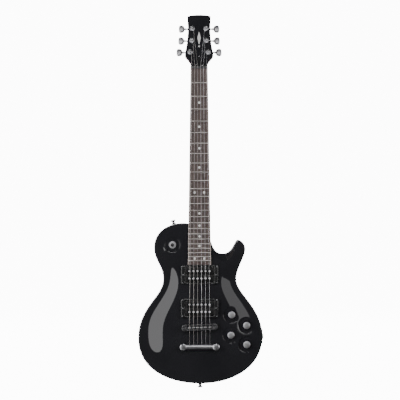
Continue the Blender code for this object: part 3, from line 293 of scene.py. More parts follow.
def value_range(tree, factor, low, high):
    """A 0 to 1 factor spread between two values."""
    spread = add_node(tree, "ShaderNodeMapRange", {"To Min": low, "To Max": high}, {"Value": factor})
    return spread.outputs["Result"]


def bump(tree, shader, height, depth, strength=1.0):
    """Relief from a 0 to 1 height, of a real depth in metres."""
    relief = add_node(tree, "ShaderNodeBump", {"Strength": strength, "Distance": depth}, {"Height": height})
    tree.links.new(relief.outputs["Normal"], shader.inputs["Normal"])


def polyester_lacquer():
    """Black polyester, sprayed and buffed: a deep mirror with the faintest orange peel.

    The colour coat is nearly black and the clear coat over it carries the reflections.
    """
    material, tree, shader = new_material(
        "polyester_lacquer", Roughness=0.5, Specular_IOR_Level=0.0, Coat_Weight=1.0, Coat_Roughness=0.02,
        Coat_IOR=1.53)
    haze = object_pattern(tree, "ShaderNodeTexNoise", {"Scale": 14.0, "Detail": 3.0})
    tint = color_steps(tree, haze.outputs["Fac"], ((0.3, "1b1b1e"), (0.7, "212124")))
    tree.links.new(tint, shader.inputs["Base Color"])
    peel = object_pattern(tree, "ShaderNodeTexNoise", {"Scale": 160.0, "Detail": 2.0})
    relief = add_node(tree, "ShaderNodeBump", {"Strength": 0.25, "Distance": 0.00002},
                      {"Height": peel.outputs["Fac"]})
    tree.links.new(relief.outputs["Normal"], shader.inputs["Coat Normal"])
    return material


body_outline = bezier_chain(OUTLINE, 36, True)
scoop_line = bezier_chain(SCOOP, 30, False)
toggle_spot = middle("toggle_lever")[:2]
knob_spots = {name: middle(name)[:2] for name in KNOBS}
pickup_spots = {name: middle(f"pickup_ring_{name}")[1] for name in ("neck", "bridge")}


def smooth_step(values, start, end):
    """0 before start, 1 after end, and an S-curve of the third power between them."""
    share = np.clip((values - start) / (end - start), 0, 1)
    return share ** 2 * (3 - 2 * share)


def plain_height(points):
    """Carved top: a level margin, an S-shaped rise to a plateau, and the scoop's straight fall.

    Rise and run shrink from the lower bout to the upper one, which is planed at the
    neck's angle.
    """
    arch = ARCH + (ARCH_UPPER - ARCH) * smooth_step(points[:, 1], *ARCH_SHIFT)
    reach = CARVE_REACH + (CARVE_REACH_UPPER - CARVE_REACH) * smooth_step(points[:, 1], *REACH_SHIFT)
    rise = smooth_step(distance_to_line(points, body_outline), CARVE_MARGIN, CARVE_MARGIN + reach)
    height = np.minimum(BODY_TOP - arch * (1 - rise), -points[:, 1] * SEAT_SLOPE - SEAT_DROP)
    crest = np.interp(points[:, 0], scoop_line[:, 0], scoop_line[:, 1])
    inside = (points[:, 0] > scoop_line[0, 0]) & (points[:, 0] < scoop_line[-1, 0]) & (points[:, 1] > crest)
    return height - inside * SCOOP_SLOPE * distance_to_line(points, scoop_line, False)


def dish_floor(spot):
    """Level floor of the dish round a control."""
    return float(plain_height(np.array([spot]))[0]) - DISH_DEPTH


dishes = [(spot, 0.0195, dish_floor(spot)) for spot in knob_spots.values()]
dishes.append((toggle_spot, 0.0176, dish_floor(toggle_spot)))
pockets = [rectangle((0, y), PICKUP_POCKET[0], PICKUP_POCKET[1], 0.004) for y in pickup_spots.values()]


def top_height(points):
    """Carved top with its dishes sunk to a level floor under a rounded lip, and the pickup pockets."""
    height = plain_height(points)
    past, share = zip(*DISH_LIP)
    for spot, radius, floor in dishes:
        beyond = np.hypot(*(points - spot).T) - radius
        height = height - np.maximum(height - floor, 0) * np.interp(beyond, past, share)
    for pocket in pockets:
        height = np.where(within(points, inset(pocket, 0.00005)), BODY_TOP - PICKUP_POCKET[2], height)
    return height


def back_height(points):
    """Flat back, let in for the two lids."""
    height = np.full(len(points), BODY_BACK)
    for lid in lid_seats:
        height = np.where(within(points, inset(lid, 0.00005)), BODY_BACK + LID_RECESS, height)
    return height


lid_seats = [hull(list(knob_spots.values()), 0.0170 + LID_LEDGE), hull([toggle_spot], 0.0210 + LID_LEDGE)]


def make_body():
    """A carved net for the top, quarter rounds and a wall for the side, and a flat net for the back."""
    count = len(body_outline)
    rows, turns = [], np.linspace(0, math.pi / 2, 5)
    edge = inset(body_outline, FRONT_ROUND)
    past = [p for p, _ in DISH_LIP]
    loops = [ring(spot, radius + p, 72) for spot, radius, _ in dishes for p in past]
    loops += [line for pocket in pockets for line in (pocket, inset(pocket, 0.0001))]
    crest = scoop_line[2:-2]
    crest = crest[distance_to_line(crest, edge) > 0.0012]
    top, top_faces = triangle_net(edge, loops, [crest], NET)
    verts = [np.column_stack((top, top_height(top)))]
    rim = plain_height(edge)
    for turn in turns[1:]:
        rows.append((inset(body_outline, FRONT_ROUND * (1 - math.sin(turn))),
                     rim - FRONT_ROUND * (1 - math.cos(turn))))
    for turn in turns[:-1]:
        rows.append((inset(body_outline, BACK_ROUND * (1 - math.cos(turn))),
                     BODY_BACK + BACK_ROUND * (1 - math.sin(turn))))
    back_edge = inset(body_outline, BACK_ROUND)
    loops = [line for lid in lid_seats for line in (lid, inset(lid, 0.0001))]
    back, back_faces = triangle_net(back_edge, loops, [], 0.012)
    faces, above, total = list(top_faces), 0, len(top)
    for line, level in rows:
        verts.append(np.column_stack((line, np.broadcast_to(level, count))))
        faces += band(above, total, count)
        above, total = total, total + count
    verts.append(np.column_stack((back, back_height(back))))
    faces += band(above, total, count) + [[total + i for i in face] for face in back_faces]
    add_piece("carved_body", place(np.vstack(verts), FRONT), faces, lacquer, slot="gloss_black_lacquer",
              replaces=["body"], sharp=28)


lacquer = polyester_lacquer()
make_body()


# ====================================================================================
# Neck. Mahogany, carved round at the back and satin-finished by hand, glued into the
# body by its heel. The headstock is sawn from the same piece and tilts back; its face
# carries a thin veneer in the body's black lacquer.
# ====================================================================================
NECK_ANGLE = math.radians(3.2)
HEAD_ANGLE = math.radians(13)
BOARD_THICKNESS = 0.0063         # with the glue line
NUT_WIDTH = 0.0426
BOARD_END_WIDTH = 0.0564
BOARD_LENGTH = 0.4822
HEAD_THICKNESS = 0.0145
VENEER = 0.0002                  # how far the veneer stands over the sawn face
# distance below the nut, half width, depth, squareness of the section
NECK_STATIONS = (
    (0.4782, 0.0200, 0.0240, 9.0), (0.4340, 0.0200, 0.0240, 9.0), (0.4280, 0.0275, 0.0410, 5.0),
    (0.3840, 0.0268, 0.0410, 4.0), (0.3770, 0.0268, 0.0344, 3.2), (0.3710, 0.0268, 0.0271, 2.8),
    (0.3620, 0.0268, 0.0216, 2.5), (0.3450, 0.0262, 0.0180, 2.3), (0.1725, 0.0238, 0.01625, 2.3),
    (0.0300, 0.0217, 0.0145, 2.3), (0.0, 0.0213, 0.0145, 2.6),
)
# distance above the nut and half width, up the concave sides to the arched top
HEAD_STATIONS = (
    (0.0050, 0.0209), (0.0110, 0.0208), (0.0156, 0.0221), (0.0208, 0.0248), (0.0260, 0.0285),
    (0.0312, 0.0328), (0.0365, 0.0349), (0.0520, 0.0324), (0.0719, 0.0294), (0.1042, 0.0273),
    (0.1365, 0.0287), (0.1395, 0.0200), (0.1410, 0.0060),
)
NECK = tilted(FRONT, -NECK_ANGLE)
HEAD = tilted(NECK, -HEAD_ANGLE, (0, 0, -BOARD_THICKNESS))


def board_half(distance):
    """Half the fretboard's width at a distance below the nut: a straight taper."""
    return (NUT_WIDTH + (BOARD_END_WIDTH - NUT_WIDTH) * distance / BOARD_LENGTH) / 2


def between(stations, count):
    """Cubic curve through rows, with each row's slope from its neighbours, limited so it can't overshoot."""
    rows = np.array(stations)
    spot, values = rows[:, 0], rows[:, 1:]
    step = np.diff(spot)[:, None]
    slopes = np.diff(values, axis=0) / step
    tangent = np.zeros_like(values)
    left, right = slopes[:-1], slopes[1:]
    same = left * right > 0
    tangent[1:-1] = np.where(same, 2 * left * right / np.where(same, left + right, 1), 0)
    tangent[0], tangent[-1] = slopes[0], slopes[-1]
    t = np.linspace(0, 1, count, endpoint=False)[:, None]
    out = []
    for i in range(len(rows) - 1):
        h = step[i]
        value = ((1 + 2 * t) * (1 - t) ** 2 * values[i] + t * (1 - t) ** 2 * h * tangent[i]
                 + t * t * (3 - 2 * t) * values[i + 1] + t * t * (t - 1) * h * tangent[i + 1])
        out.append(np.column_stack((spot[i] + t * h, value)))
    return np.vstack((*out, rows[-1:]))


def skin(rows):
    """Verts and faces of a tube of closed rows, each end closed by a fan, or by a pole at a point."""
    rows = [np.asarray(row, float) for row in rows]
    count = len(rows[0])
    points = [np.ptp(row, axis=0).max() < 1e-9 for row in rows]
    verts, starts, total = [], [], 0
    for row, point in zip(rows, points):
        verts.append(row[:1] if point else row)
        starts.append(total)
        total += len(verts[-1])
    faces = []
    for i in range(len(rows) - 1):
        a, b = starts[i], starts[i + 1]
        if points[i] and points[i + 1]:
            continue
        if points[i]:
            faces += [[a, b + (k + 1) % count, b + k] for k in range(count)]
        elif points[i + 1]:
            faces += [[a + k, a + (k + 1) % count, b] for k in range(count)]
        else:
            faces += band(a, b, count)
    for i in (0, len(rows) - 1):
        if not points[i]:
            verts.append(rows[i].mean(0)[None])
            faces += [[starts[i] + k, starts[i] + (k + 1) % count, total] for k in range(count)]
            total += 1
    return np.vstack(verts), faces


def loop_skin(rows):
    """Verts and faces of a ring of closed rows whose last row meets the first."""
    count = len(rows[0])
    faces = []
    for i in range(len(rows)):
        faces += band(i * count, (i + 1) % len(rows) * count, count)
    return np.vstack(rows), faces


def together(parts):
    """Several (verts, faces) pairs as one."""
    verts, faces, total = [], [], 0
    for part, part_faces in parts:
        verts.append(np.asarray(part, float))
        faces += [[total + i for i in face] for face in part_faces]
        total += len(part)
    return np.vstack(verts), faces


def plate(loops, low, high, edge=0.0, spacing=0.02):
    """A flat outline with holes, between two heights, its front edges rounded by quarter circles."""
    turns = np.linspace(0, math.pi / 2, 4) if edge else [0]
    verts, faces, total = [], [], 0
    fronts = [inset(loop, edge) if edge else loop for loop in loops]
    net, net_faces = triangle_net(fronts[0], fronts[1:], [], spacing)
    keep = [face for face in net_faces
            if not any(within(net[face].mean(0)[None], hole)[0] for hole in fronts[1:])]
    starts = np.cumsum([0, *(len(loop) for loop in loops)])
    verts.append(np.column_stack((net, np.full(len(net), high))))
    faces += keep
    total = len(net)
    bottoms = []
    for loop, start in zip(loops, starts):
        above, count = int(start), len(loop)
        rows = [(inset(loop, edge * (1 - math.sin(turn))), high - edge * (1 - math.cos(turn)))
                for turn in turns[1:]]
        rows.append((loop, low))
        for line, level in rows:
            verts.append(np.column_stack((line, np.full(count, level))))
            faces += band(above, total, count)
            above, total = total, total + count
        bottoms.append(above)
    net, net_faces = triangle_net(loops[0], loops[1:], [], spacing)
    keep = [face for face in net_faces
            if not any(within(net[face].mean(0)[None], hole)[0] for hole in loops[1:])]
    numbers = np.concatenate([np.arange(len(loop)) + bottom for loop, bottom in zip(loops, bottoms)]).tolist()
    extra = net[len(numbers):]
    numbers += list(range(total, total + len(extra)))
    verts.append(np.column_stack((extra, np.full(len(extra), low))))
    faces += [[numbers[i] for i in face] for face in keep]
    return np.vstack(verts), faces


def neck_section(half_width, depth, squareness):
    """Flat-fronted half superellipse: x and depth are powers of a cosine and a sine."""
    turn = np.linspace(0, math.pi, 41)
    x = half_width * np.sign(np.cos(turn)) * np.abs(np.cos(turn)) ** (2 / squareness)
    z = -depth * np.abs(np.sin(turn)) ** (2 / squareness)
    x[20] = 0
    return np.column_stack((x, np.zeros_like(x), z))


def satin_mahogany():
    """Mahogany under a thin satin coat: red-brown, straight open grain along the neck, soft sheen."""
    material, tree, shader = new_material("satin_mahogany", Roughness=0.42, Coat_Weight=0.25,
                                          Coat_Roughness=0.3)
    grain = object_pattern(tree, "ShaderNodeTexNoise", {"Scale": 420.0, "Detail": 5.0, "Distortion": 0.4},
                           (1, 1, 0.03))
    figure = object_pattern(tree, "ShaderNodeTexNoise", {"Scale": 60.0, "Detail": 2.0}, (1, 1, 0.12))
    mixed = add_node(tree, "ShaderNodeMix", {"Factor": 0.45},
                     {"A": grain.outputs["Fac"], "B": figure.outputs["Fac"]})
    tint = color_steps(tree, mixed.outputs["Result"], ((0.3, "43241b"), (0.5, "5a3326"), (0.7, "6d4232")))
    tree.links.new(tint, shader.inputs["Base Color"])
    tree.links.new(value_range(tree, grain.outputs["Fac"], 0.36, 0.50), shader.inputs["Roughness"])
    bump(tree, shader, grain.outputs["Fac"], 0.00003, 0.4)
    return material


def make_neck():
    """Sections carried down the neck, and up the headstock on its own tilted plane."""
    rows = []
    for distance, half, depth, squareness in between(NECK_STATIONS[::-1], 5)[::-1]:
        rows.append(place(neck_section(half, depth, squareness) + (0, -distance, -BOARD_THICKNESS), NECK))
    for distance, half in between(HEAD_STATIONS, 5):
        squareness = np.interp(distance, (0.005, 0.016, 0.030), (3.0, 9.0, 22.0))
        section = neck_section(half, HEAD_THICKNESS, squareness)
        rows.append(place(section + (0, distance, 0), HEAD))
    add_piece("neck_and_headstock", *skin(rows), mahogany, slot="mahogany", replaces=["neck"])
    face = between(HEAD_STATIONS, 6)
    face = face[face[:, 0] > 0.0056]
    right = np.column_stack((face[:, 1] - 0.0001, face[:, 0]))
    left = np.column_stack((-face[:, 1] + 0.0001, face[:, 0]))[::-1]
    verts, faces = plate([np.vstack((right, left))[::-1]], -0.0012, VENEER, 0.0004)
    add_piece("headstock_veneer", place(verts, HEAD), faces, lacquer, slot="gloss_black_lacquer")


mahogany = satin_mahogany()
make_neck()


# ====================================================================================
# Fretboard. Crowned rosewood, glued on the neck and edged with pale binding; the
# 24 nickel-silver frets are hammered in and dressed, and the position dots are pearl.
# ====================================================================================
SCALE_LENGTH = 0.62865
BOARD_RADIUS = 0.305
BOARD_TOP_GAP = 0.0003
BINDING = 0.0017
FRET_HEIGHT = 0.0011
FRET_WIDTH = 0.0024
DOT_RADIUS = 0.0030
DOTS = {3: (0,), 5: (0,), 7: (0,), 9: (0,), 12: (-0.0114, 0.0114), 15: (0,), 17: (0,), 19: (0,), 21: (0,),
        24: (-0.0114, 0.0114)}


def fret_distance(number):
    """Distance of a fret below the nut, in equal temperament."""
    return SCALE_LENGTH * (1 - 2 ** (-number / 12))


def crown(x):
    """Height of the crowned board: a shallow parabola across."""
    return -x ** 2 / (2 * BOARD_RADIUS)


def strip(inner, outer, low):
    """A crowned strip of the board between two shares of its half width, closed all round."""
    rows = []
    for distance in np.linspace(0, BOARD_LENGTH - 0.0001, 60):
        x = board_half(distance) * np.linspace(inner, outer, 13) if inner < 0 else \
            np.linspace(board_half(distance) - inner, board_half(distance) - outer, 5)
        x = x if inner < 0 else x[::-1]
        top = np.column_stack((x, np.full_like(x, -distance), crown(x)))
        bottom = np.column_stack((x[::-1], np.full_like(x, -distance), np.full_like(x, low)))
        rows.append(np.vstack((top, bottom)))
    return skin(rows)


def oiled_rosewood():
    """Rosewood, scraped and oiled, not lacquered: dark brown with open pores drawn out along the grain."""
    material, tree, shader = new_material("oiled_rosewood", Roughness=0.5, IOR=1.5)
    streak = object_pattern(tree, "ShaderNodeTexNoise", {"Scale": 330.0, "Detail": 6.0, "Distortion": 0.5},
                            (1, 1, 0.05))
    pore = object_pattern(tree, "ShaderNodeTexNoise", {"Scale": 1500.0, "Detail": 2.0}, (1, 1, 0.04))
    tone = color_steps(tree, streak.outputs["Fac"], ((0.25, "261b18"), (0.5, "3d2d2a"), (0.75, "52403b")))
    holes = color_steps(tree, pore.outputs["Fac"], ((0.32, "2a1f1c"), (0.46, "ffffff")))
    mixed = add_node(tree, "ShaderNodeMix", {"data_type": "RGBA", "blend_type": "MULTIPLY", 0: 0.6},
                     {6: tone, 7: holes})
    tree.links.new(mixed.outputs[2], shader.inputs["Base Color"])
    tree.links.new(value_range(tree, streak.outputs["Fac"], 0.42, 0.58), shader.inputs["Roughness"])
    bump(tree, shader, pore.outputs["Fac"], 0.00005, 0.5)
    return material


def aged_binding():
    """Celluloid binding, scraped flush: a warm pale grey, faintly mottled, half gloss."""
    material, tree, shader = new_material("celluloid_binding", Roughness=0.35, IOR=1.5)
    cloud = object_pattern(tree, "ShaderNodeTexNoise", {"Scale": 90.0, "Detail": 3.0}, (1, 1, 0.2))
    tint = color_steps(tree, cloud.outputs["Fac"], ((0.3, "a3968f"), (0.7, "b8aba3")))
    tree.links.new(tint, shader.inputs["Base Color"])
    return material


def worked_metal(name, code, roughness, scratch=0.00001, stretch=(1, 1, 1), spread=0.08):
    """A metal of one colour whose polish varies with fine marks, drawn out by the stretch."""
    material, tree, shader = new_material(name, Metallic=1.0, Roughness=roughness)
    mark = object_pattern(tree, "ShaderNodeTexNoise", {"Scale": 900.0, "Detail": 4.0}, stretch)
    worn = object_pattern(tree, "ShaderNodeTexNoise", {"Scale": 70.0, "Detail": 3.0})
    mixed = add_node(tree, "ShaderNodeMix", {"Factor": 0.5},
                     {"A": mark.outputs["Fac"], "B": worn.outputs["Fac"]})
    base = np.array([int(code[i:i + 2], 16) for i in (0, 2, 4)])
    dark = "".join(f"{int(value * 0.86):02x}" for value in base)
    tint = color_steps(tree, mixed.outputs["Result"], ((0.35, dark), (0.6, code)))
    tree.links.new(tint, shader.inputs["Base Color"])
    low, high = max(roughness - spread, 0.04), roughness + spread
    tree.links.new(value_range(tree, mixed.outputs["Result"], low, high), shader.inputs["Roughness"])
    bump(tree, shader, mark.outputs["Fac"], scratch, 0.5)
    return material


def pearl():
    """Mother-of-pearl: white with soft drifting bands and a lacquered shine."""
    material, tree, shader = new_material("mother_of_pearl", Roughness=0.2, Coat_Weight=0.6,
                                          Coat_Roughness=0.08)
    cloud = object_pattern(tree, "ShaderNodeTexNoise", {"Scale": 260.0, "Detail": 3.0, "Distortion": 2.0})
    tint = color_steps(tree, cloud.outputs["Fac"], ((0.3, "b9bcbe"), (0.5, "d8d8d4"), (0.7, "e9e6e2")))
    tree.links.new(tint, shader.inputs["Base Color"])
    return material


def make_fretboard():
    """A crowned board with a strip of binding down each edge, frets across and dots between."""
    wood = strip(-0.96, 0.96, -BOARD_THICKNESS + BOARD_TOP_GAP)
    add_piece("rosewood_board", place(wood[0], NECK), wood[1], oiled_rosewood(), slot="rosewood",
              replaces=["fretboard"])
    right = strip(BINDING, 0.0, -BOARD_THICKNESS + BOARD_TOP_GAP)
    mirrored = right[0] * (-1, 1, 1)
    verts, faces = together([right, (mirrored, right[1])])
    add_piece("board_binding", place(verts, NECK), faces, aged_binding(), slot="bone")
    wires = []
    for number in range(1, 25):
        turn = np.linspace(0, math.pi, 9)
        rows = []
        half = board_half(fret_distance(number))
        for share in np.linspace(-1, 1, 25):
            x = share * half
            rise = FRET_HEIGHT * min(1.0, (1 - abs(share)) * half / 0.0009 + 0.15)
            y = -fret_distance(number) + FRET_WIDTH / 2 * np.cos(turn)
            z = crown(x) - 0.0003 + (rise + 0.0003) * np.sin(turn) ** 0.8
            rows.append(np.column_stack((np.full_like(y, x), y, z)))
        wires.append(skin(rows))
    verts, faces = together(wires)
    add_piece("frets", place(verts, NECK), faces,
              worked_metal("nickel_silver", "dcd6d2", 0.40, stretch=(0.05, 1, 1)), slot="polished_steel")
    discs = []
    for number, spots in DOTS.items():
        y = -(fret_distance(number - 1) + fret_distance(number)) / 2
        for x in spots:
            verts, faces = plate([ring((x, y), DOT_RADIUS, 32)], -0.002, 0.00008, 0.0002)
            verts[:, 2] += crown(x)
            discs.append((verts, faces))
    verts, faces = together(discs)
    add_piece("position_dots", place(verts, NECK), faces, pearl(), slot="bone")


make_fretboard()


# ====================================================================================
# Nut and truss rod cover. The nut is a dark composite, sawn for the strings; the bell
# of black plastic over the rod's pocket is held by three small screws.
# ====================================================================================
COVER_START = 0.0065
COVER_LENGTH = 0.030
COVER_WIDTH = 0.024
COVER_LOW, COVER_HIGH = 0.0003, 0.0019


def black_plastic(name, code="0d0d0e", roughness=0.32, grit=0.00001, scale=1400.0, shine=1.49):
    """Moulded black ABS: an even dark tone, its moulded skin broken by a fine grain."""
    material, tree, shader = new_material(name, Roughness=roughness, IOR=shine)
    grain = object_pattern(tree, "ShaderNodeTexNoise", {"Scale": scale, "Detail": 3.0})
    low = "".join(f"{int(int(code[i:i + 2], 16) * 0.8):02x}" for i in (0, 2, 4))
    tint = color_steps(tree, grain.outputs["Fac"], ((0.3, low), (0.7, code)))
    tree.links.new(tint, shader.inputs["Base Color"])
    tree.links.new(value_range(tree, grain.outputs["Fac"], roughness - 0.06, roughness + 0.06),
                   shader.inputs["Roughness"])
    bump(tree, shader, grain.outputs["Fac"], grit, 0.5)
    return material


def refinish(node, material):
    """Gives a CAD node that keeps its shape the real finish."""
    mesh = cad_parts[node].data
    mesh.materials.clear()
    mesh.materials.append(material)


def turned(profile, steps=48):
    """Rows of a lathe-turned shape from (radius, height) pairs, about its own Z."""
    turn = np.linspace(0, 2 * math.pi, steps, endpoint=False)
    return [np.column_stack((r * np.cos(turn), r * np.sin(turn), np.full(steps, h))) for r, h in profile]


def screw_head(radius, slots=2, height=0.0009, sink=0.00045):
    """A domed screw head with its drive: one slot, or two crossed ones, sunk as a dip in the dome."""
    turn = np.linspace(0, 2 * math.pi, 48, endpoint=False)
    share = np.array((0.0, 0.12, 0.24, 0.36, 0.48, 0.62, 0.78, 0.92, 1.0))
    rows = []
    for part in share:
        x, y = part * radius * np.cos(turn), part * radius * np.sin(turn)
        z = height * np.sqrt(np.maximum(1 - part ** 2, 0)) * 0.75 + height * 0.25
        width = radius * 0.15
        cut = (np.abs(x) < width) & (np.abs(y) < radius * (2 if slots == 1 else 0.62))
        if slots == 2:
            cut |= (np.abs(y) < width) & (np.abs(x) < radius * 0.62)
        rows.append(np.column_stack((x, y, z - sink * cut)))
    edge = rows[-1] * (1, 1, 0)
    return skin([*rows, edge])


def set_at(parts, spot, frame4, turn=0.0):
    """Verts and faces moved to a spot of a frame, after a turn about the frame's Z."""
    verts, faces = parts
    c, s = math.cos(turn), math.sin(turn)
    moved = verts @ np.array(((c, s, 0), (-s, c, 0), (0, 0, 1))) + np.asarray(spot)
    return place(moved, frame4), faces


def make_nut_and_cover():
    """The nut keeps its sawn block; the cover is a bell: straight foot, waist and round head."""
    refinish("nut", black_plastic("nut_composite", "2c2c2e", 0.30))
    refinish("truss_rod", steel)
    w, h = COVER_WIDTH / 2, COVER_LENGTH
    half = between(((0.0, w), (h * 0.16, w * 0.92), (h * 0.38, w * 0.66), (h * 0.58, w * 0.50),
                    (h * 0.78, w * 0.42)), 6)
    turn = np.linspace(0, math.pi, 18)[1:-1]
    tip = np.column_stack((w * 0.42 * np.cos(turn), h * 0.78 + h * 0.22 * np.sin(turn)))
    loop = np.vstack((half[:, ::-1], tip, (half[:, ::-1] * (-1, 1))[::-1]))[::-1] + (0, COVER_START)
    verts, faces = plate([loop], COVER_LOW, COVER_HIGH, 0.0005)
    add_piece("bell_cover", place(verts, HEAD), faces, black_plastic("cover_plastic", "18181a", 0.22),
              slot="black_plastic", replaces=["truss_rod_cover"])
    heads = [set_at(screw_head(0.0016), (x, COVER_START + y, COVER_HIGH - 0.0002), HEAD, 0.6)
             for x, y in ((0, h * 0.86), (-w * 0.68, h * 0.10), (w * 0.68, h * 0.10))]
    add_piece("cover_screws", *together(heads), steel, slot="polished_steel")


steel = worked_metal("polished_steel", "c4c4c6", 0.20)
make_nut_and_cover()


# ====================================================================================
# Headstock inlay. A plain lozenge over a small disc, cut from pearl and set flush in
# the black face. It is the builder's own ornament and marks no maker.
# ====================================================================================
INLAY_MIDDLE = 0.0800
INLAY_SIZE = (0.0040, 0.0170)


def make_inlay():
    """Four concave sides between the points of a lozenge, and a disc beneath it."""
    turn = -np.linspace(0, 2 * math.pi, 48, endpoint=False)
    x = INLAY_SIZE[0] * np.sign(np.cos(turn)) * np.abs(np.cos(turn)) ** 1.7
    y = INLAY_SIZE[1] * np.sign(np.sin(turn)) * np.abs(np.sin(turn)) ** 1.7
    lozenge = plate([np.column_stack((x, y + INLAY_MIDDLE))], -0.0004, VENEER + 0.00006)
    disc = plate([ring((0, INLAY_MIDDLE - INLAY_SIZE[1] - 0.0045), 0.0022, 32)], -0.0004, VENEER + 0.00006)
    verts, faces = together([lozenge, disc])
    add_piece("headstock_inlay", place(verts, HEAD), faces, pearl(), slot="bone")


make_inlay()


# ====================================================================================
# Tuners. Die-cast housings behind the headstock, each clamped by a hexagon nut over a
# washer; the worm turns the steel post through its gear. Satin nickel throughout.
# ====================================================================================
TUNER_NUT_HEIGHT = 0.0022
WAIST = 0.0024                   # post radius where the string winds
# treble to bass, all six drawn at least 0.36 mm thick
STRING_RADII = (0.00018, 0.00020, 0.00024, 0.00033, 0.00044, 0.00050)
WIND_TURNS = (5, 4, 4, 3, 3, 2)
WIND_HEIGHT = 0.0075             # where the string leaves the post, over the headstock's face


def corners(node, frame4=FRONT):
    """Lowest and highest corner of a CAD node, measured in a frame."""
    back = np.linalg.inv(frame4)
    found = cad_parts[node]
    points = np.array([found.matrix_world @ vert.co for vert in found.data.vertices])
    points = points @ back[:3, :3].T + back[:3, 3]
    return points.min(0), points.max(0)


def satin_nickel(name="satin_nickel", code="8f8f92", roughness=0.34):
    """Nickel plate rubbed to a satin: a neutral grey metal with a fine, even grain."""
    return worked_metal(name, code, roughness, 0.000006)


def rounded_box(low, high, corner, edge):
    """A box with rounded corners in plan and quarter-round edges at its back."""
    middle, size = (low + high) / 2, high - low
    loop = rectangle(middle[:2], size[0], size[1], corner)
    verts, faces = plate([loop], -high[2], -low[2], edge)
    return verts * (1, 1, -1), faces


def button_shape(middle, size, side):
    """A cushion whose outline swells away from the shaft: an ellipsoid with raised powers."""
    rows = []
    turn = np.linspace(0, 2 * math.pi, 40, endpoint=False)
    for lift in np.linspace(-math.pi / 2, math.pi / 2, 21):
        across = math.copysign(abs(math.sin(lift)) ** 0.72, lift)
        round_ = max(math.cos(lift), 0) ** 0.72
        y = round_ * np.sign(np.cos(turn)) * np.abs(np.cos(turn)) ** 0.85 * (1 + 0.10 * across)
        z = round_ * np.sign(np.sin(turn)) * np.abs(np.sin(turn)) ** 0.85
        x = np.full_like(y, side * across)
        rows.append(middle + np.column_stack((x, y, z)) * np.asarray(size) / 2 * (1, 0.93, 1))
    return skin(rows)


def tube(path, radius, sides=10):
    """A round wire through points, its rings square to the path."""
    path = np.asarray(path, float)
    rows = []
    for i, point in enumerate(path):
        run = Vector(path[min(i + 1, len(path) - 1)] - path[max(i - 1, 0)]).normalized()
        up = Vector((1, 0, 0)) if abs(run.x) < 0.9 else Vector((0, 1, 0))
        first = run.cross(up).normalized()
        second = run.cross(first)
        turn = np.linspace(0, 2 * math.pi, sides, endpoint=False)[:, None]
        rows.append(point + radius * (np.cos(turn) * first + np.sin(turn) * second))
    return skin(rows)


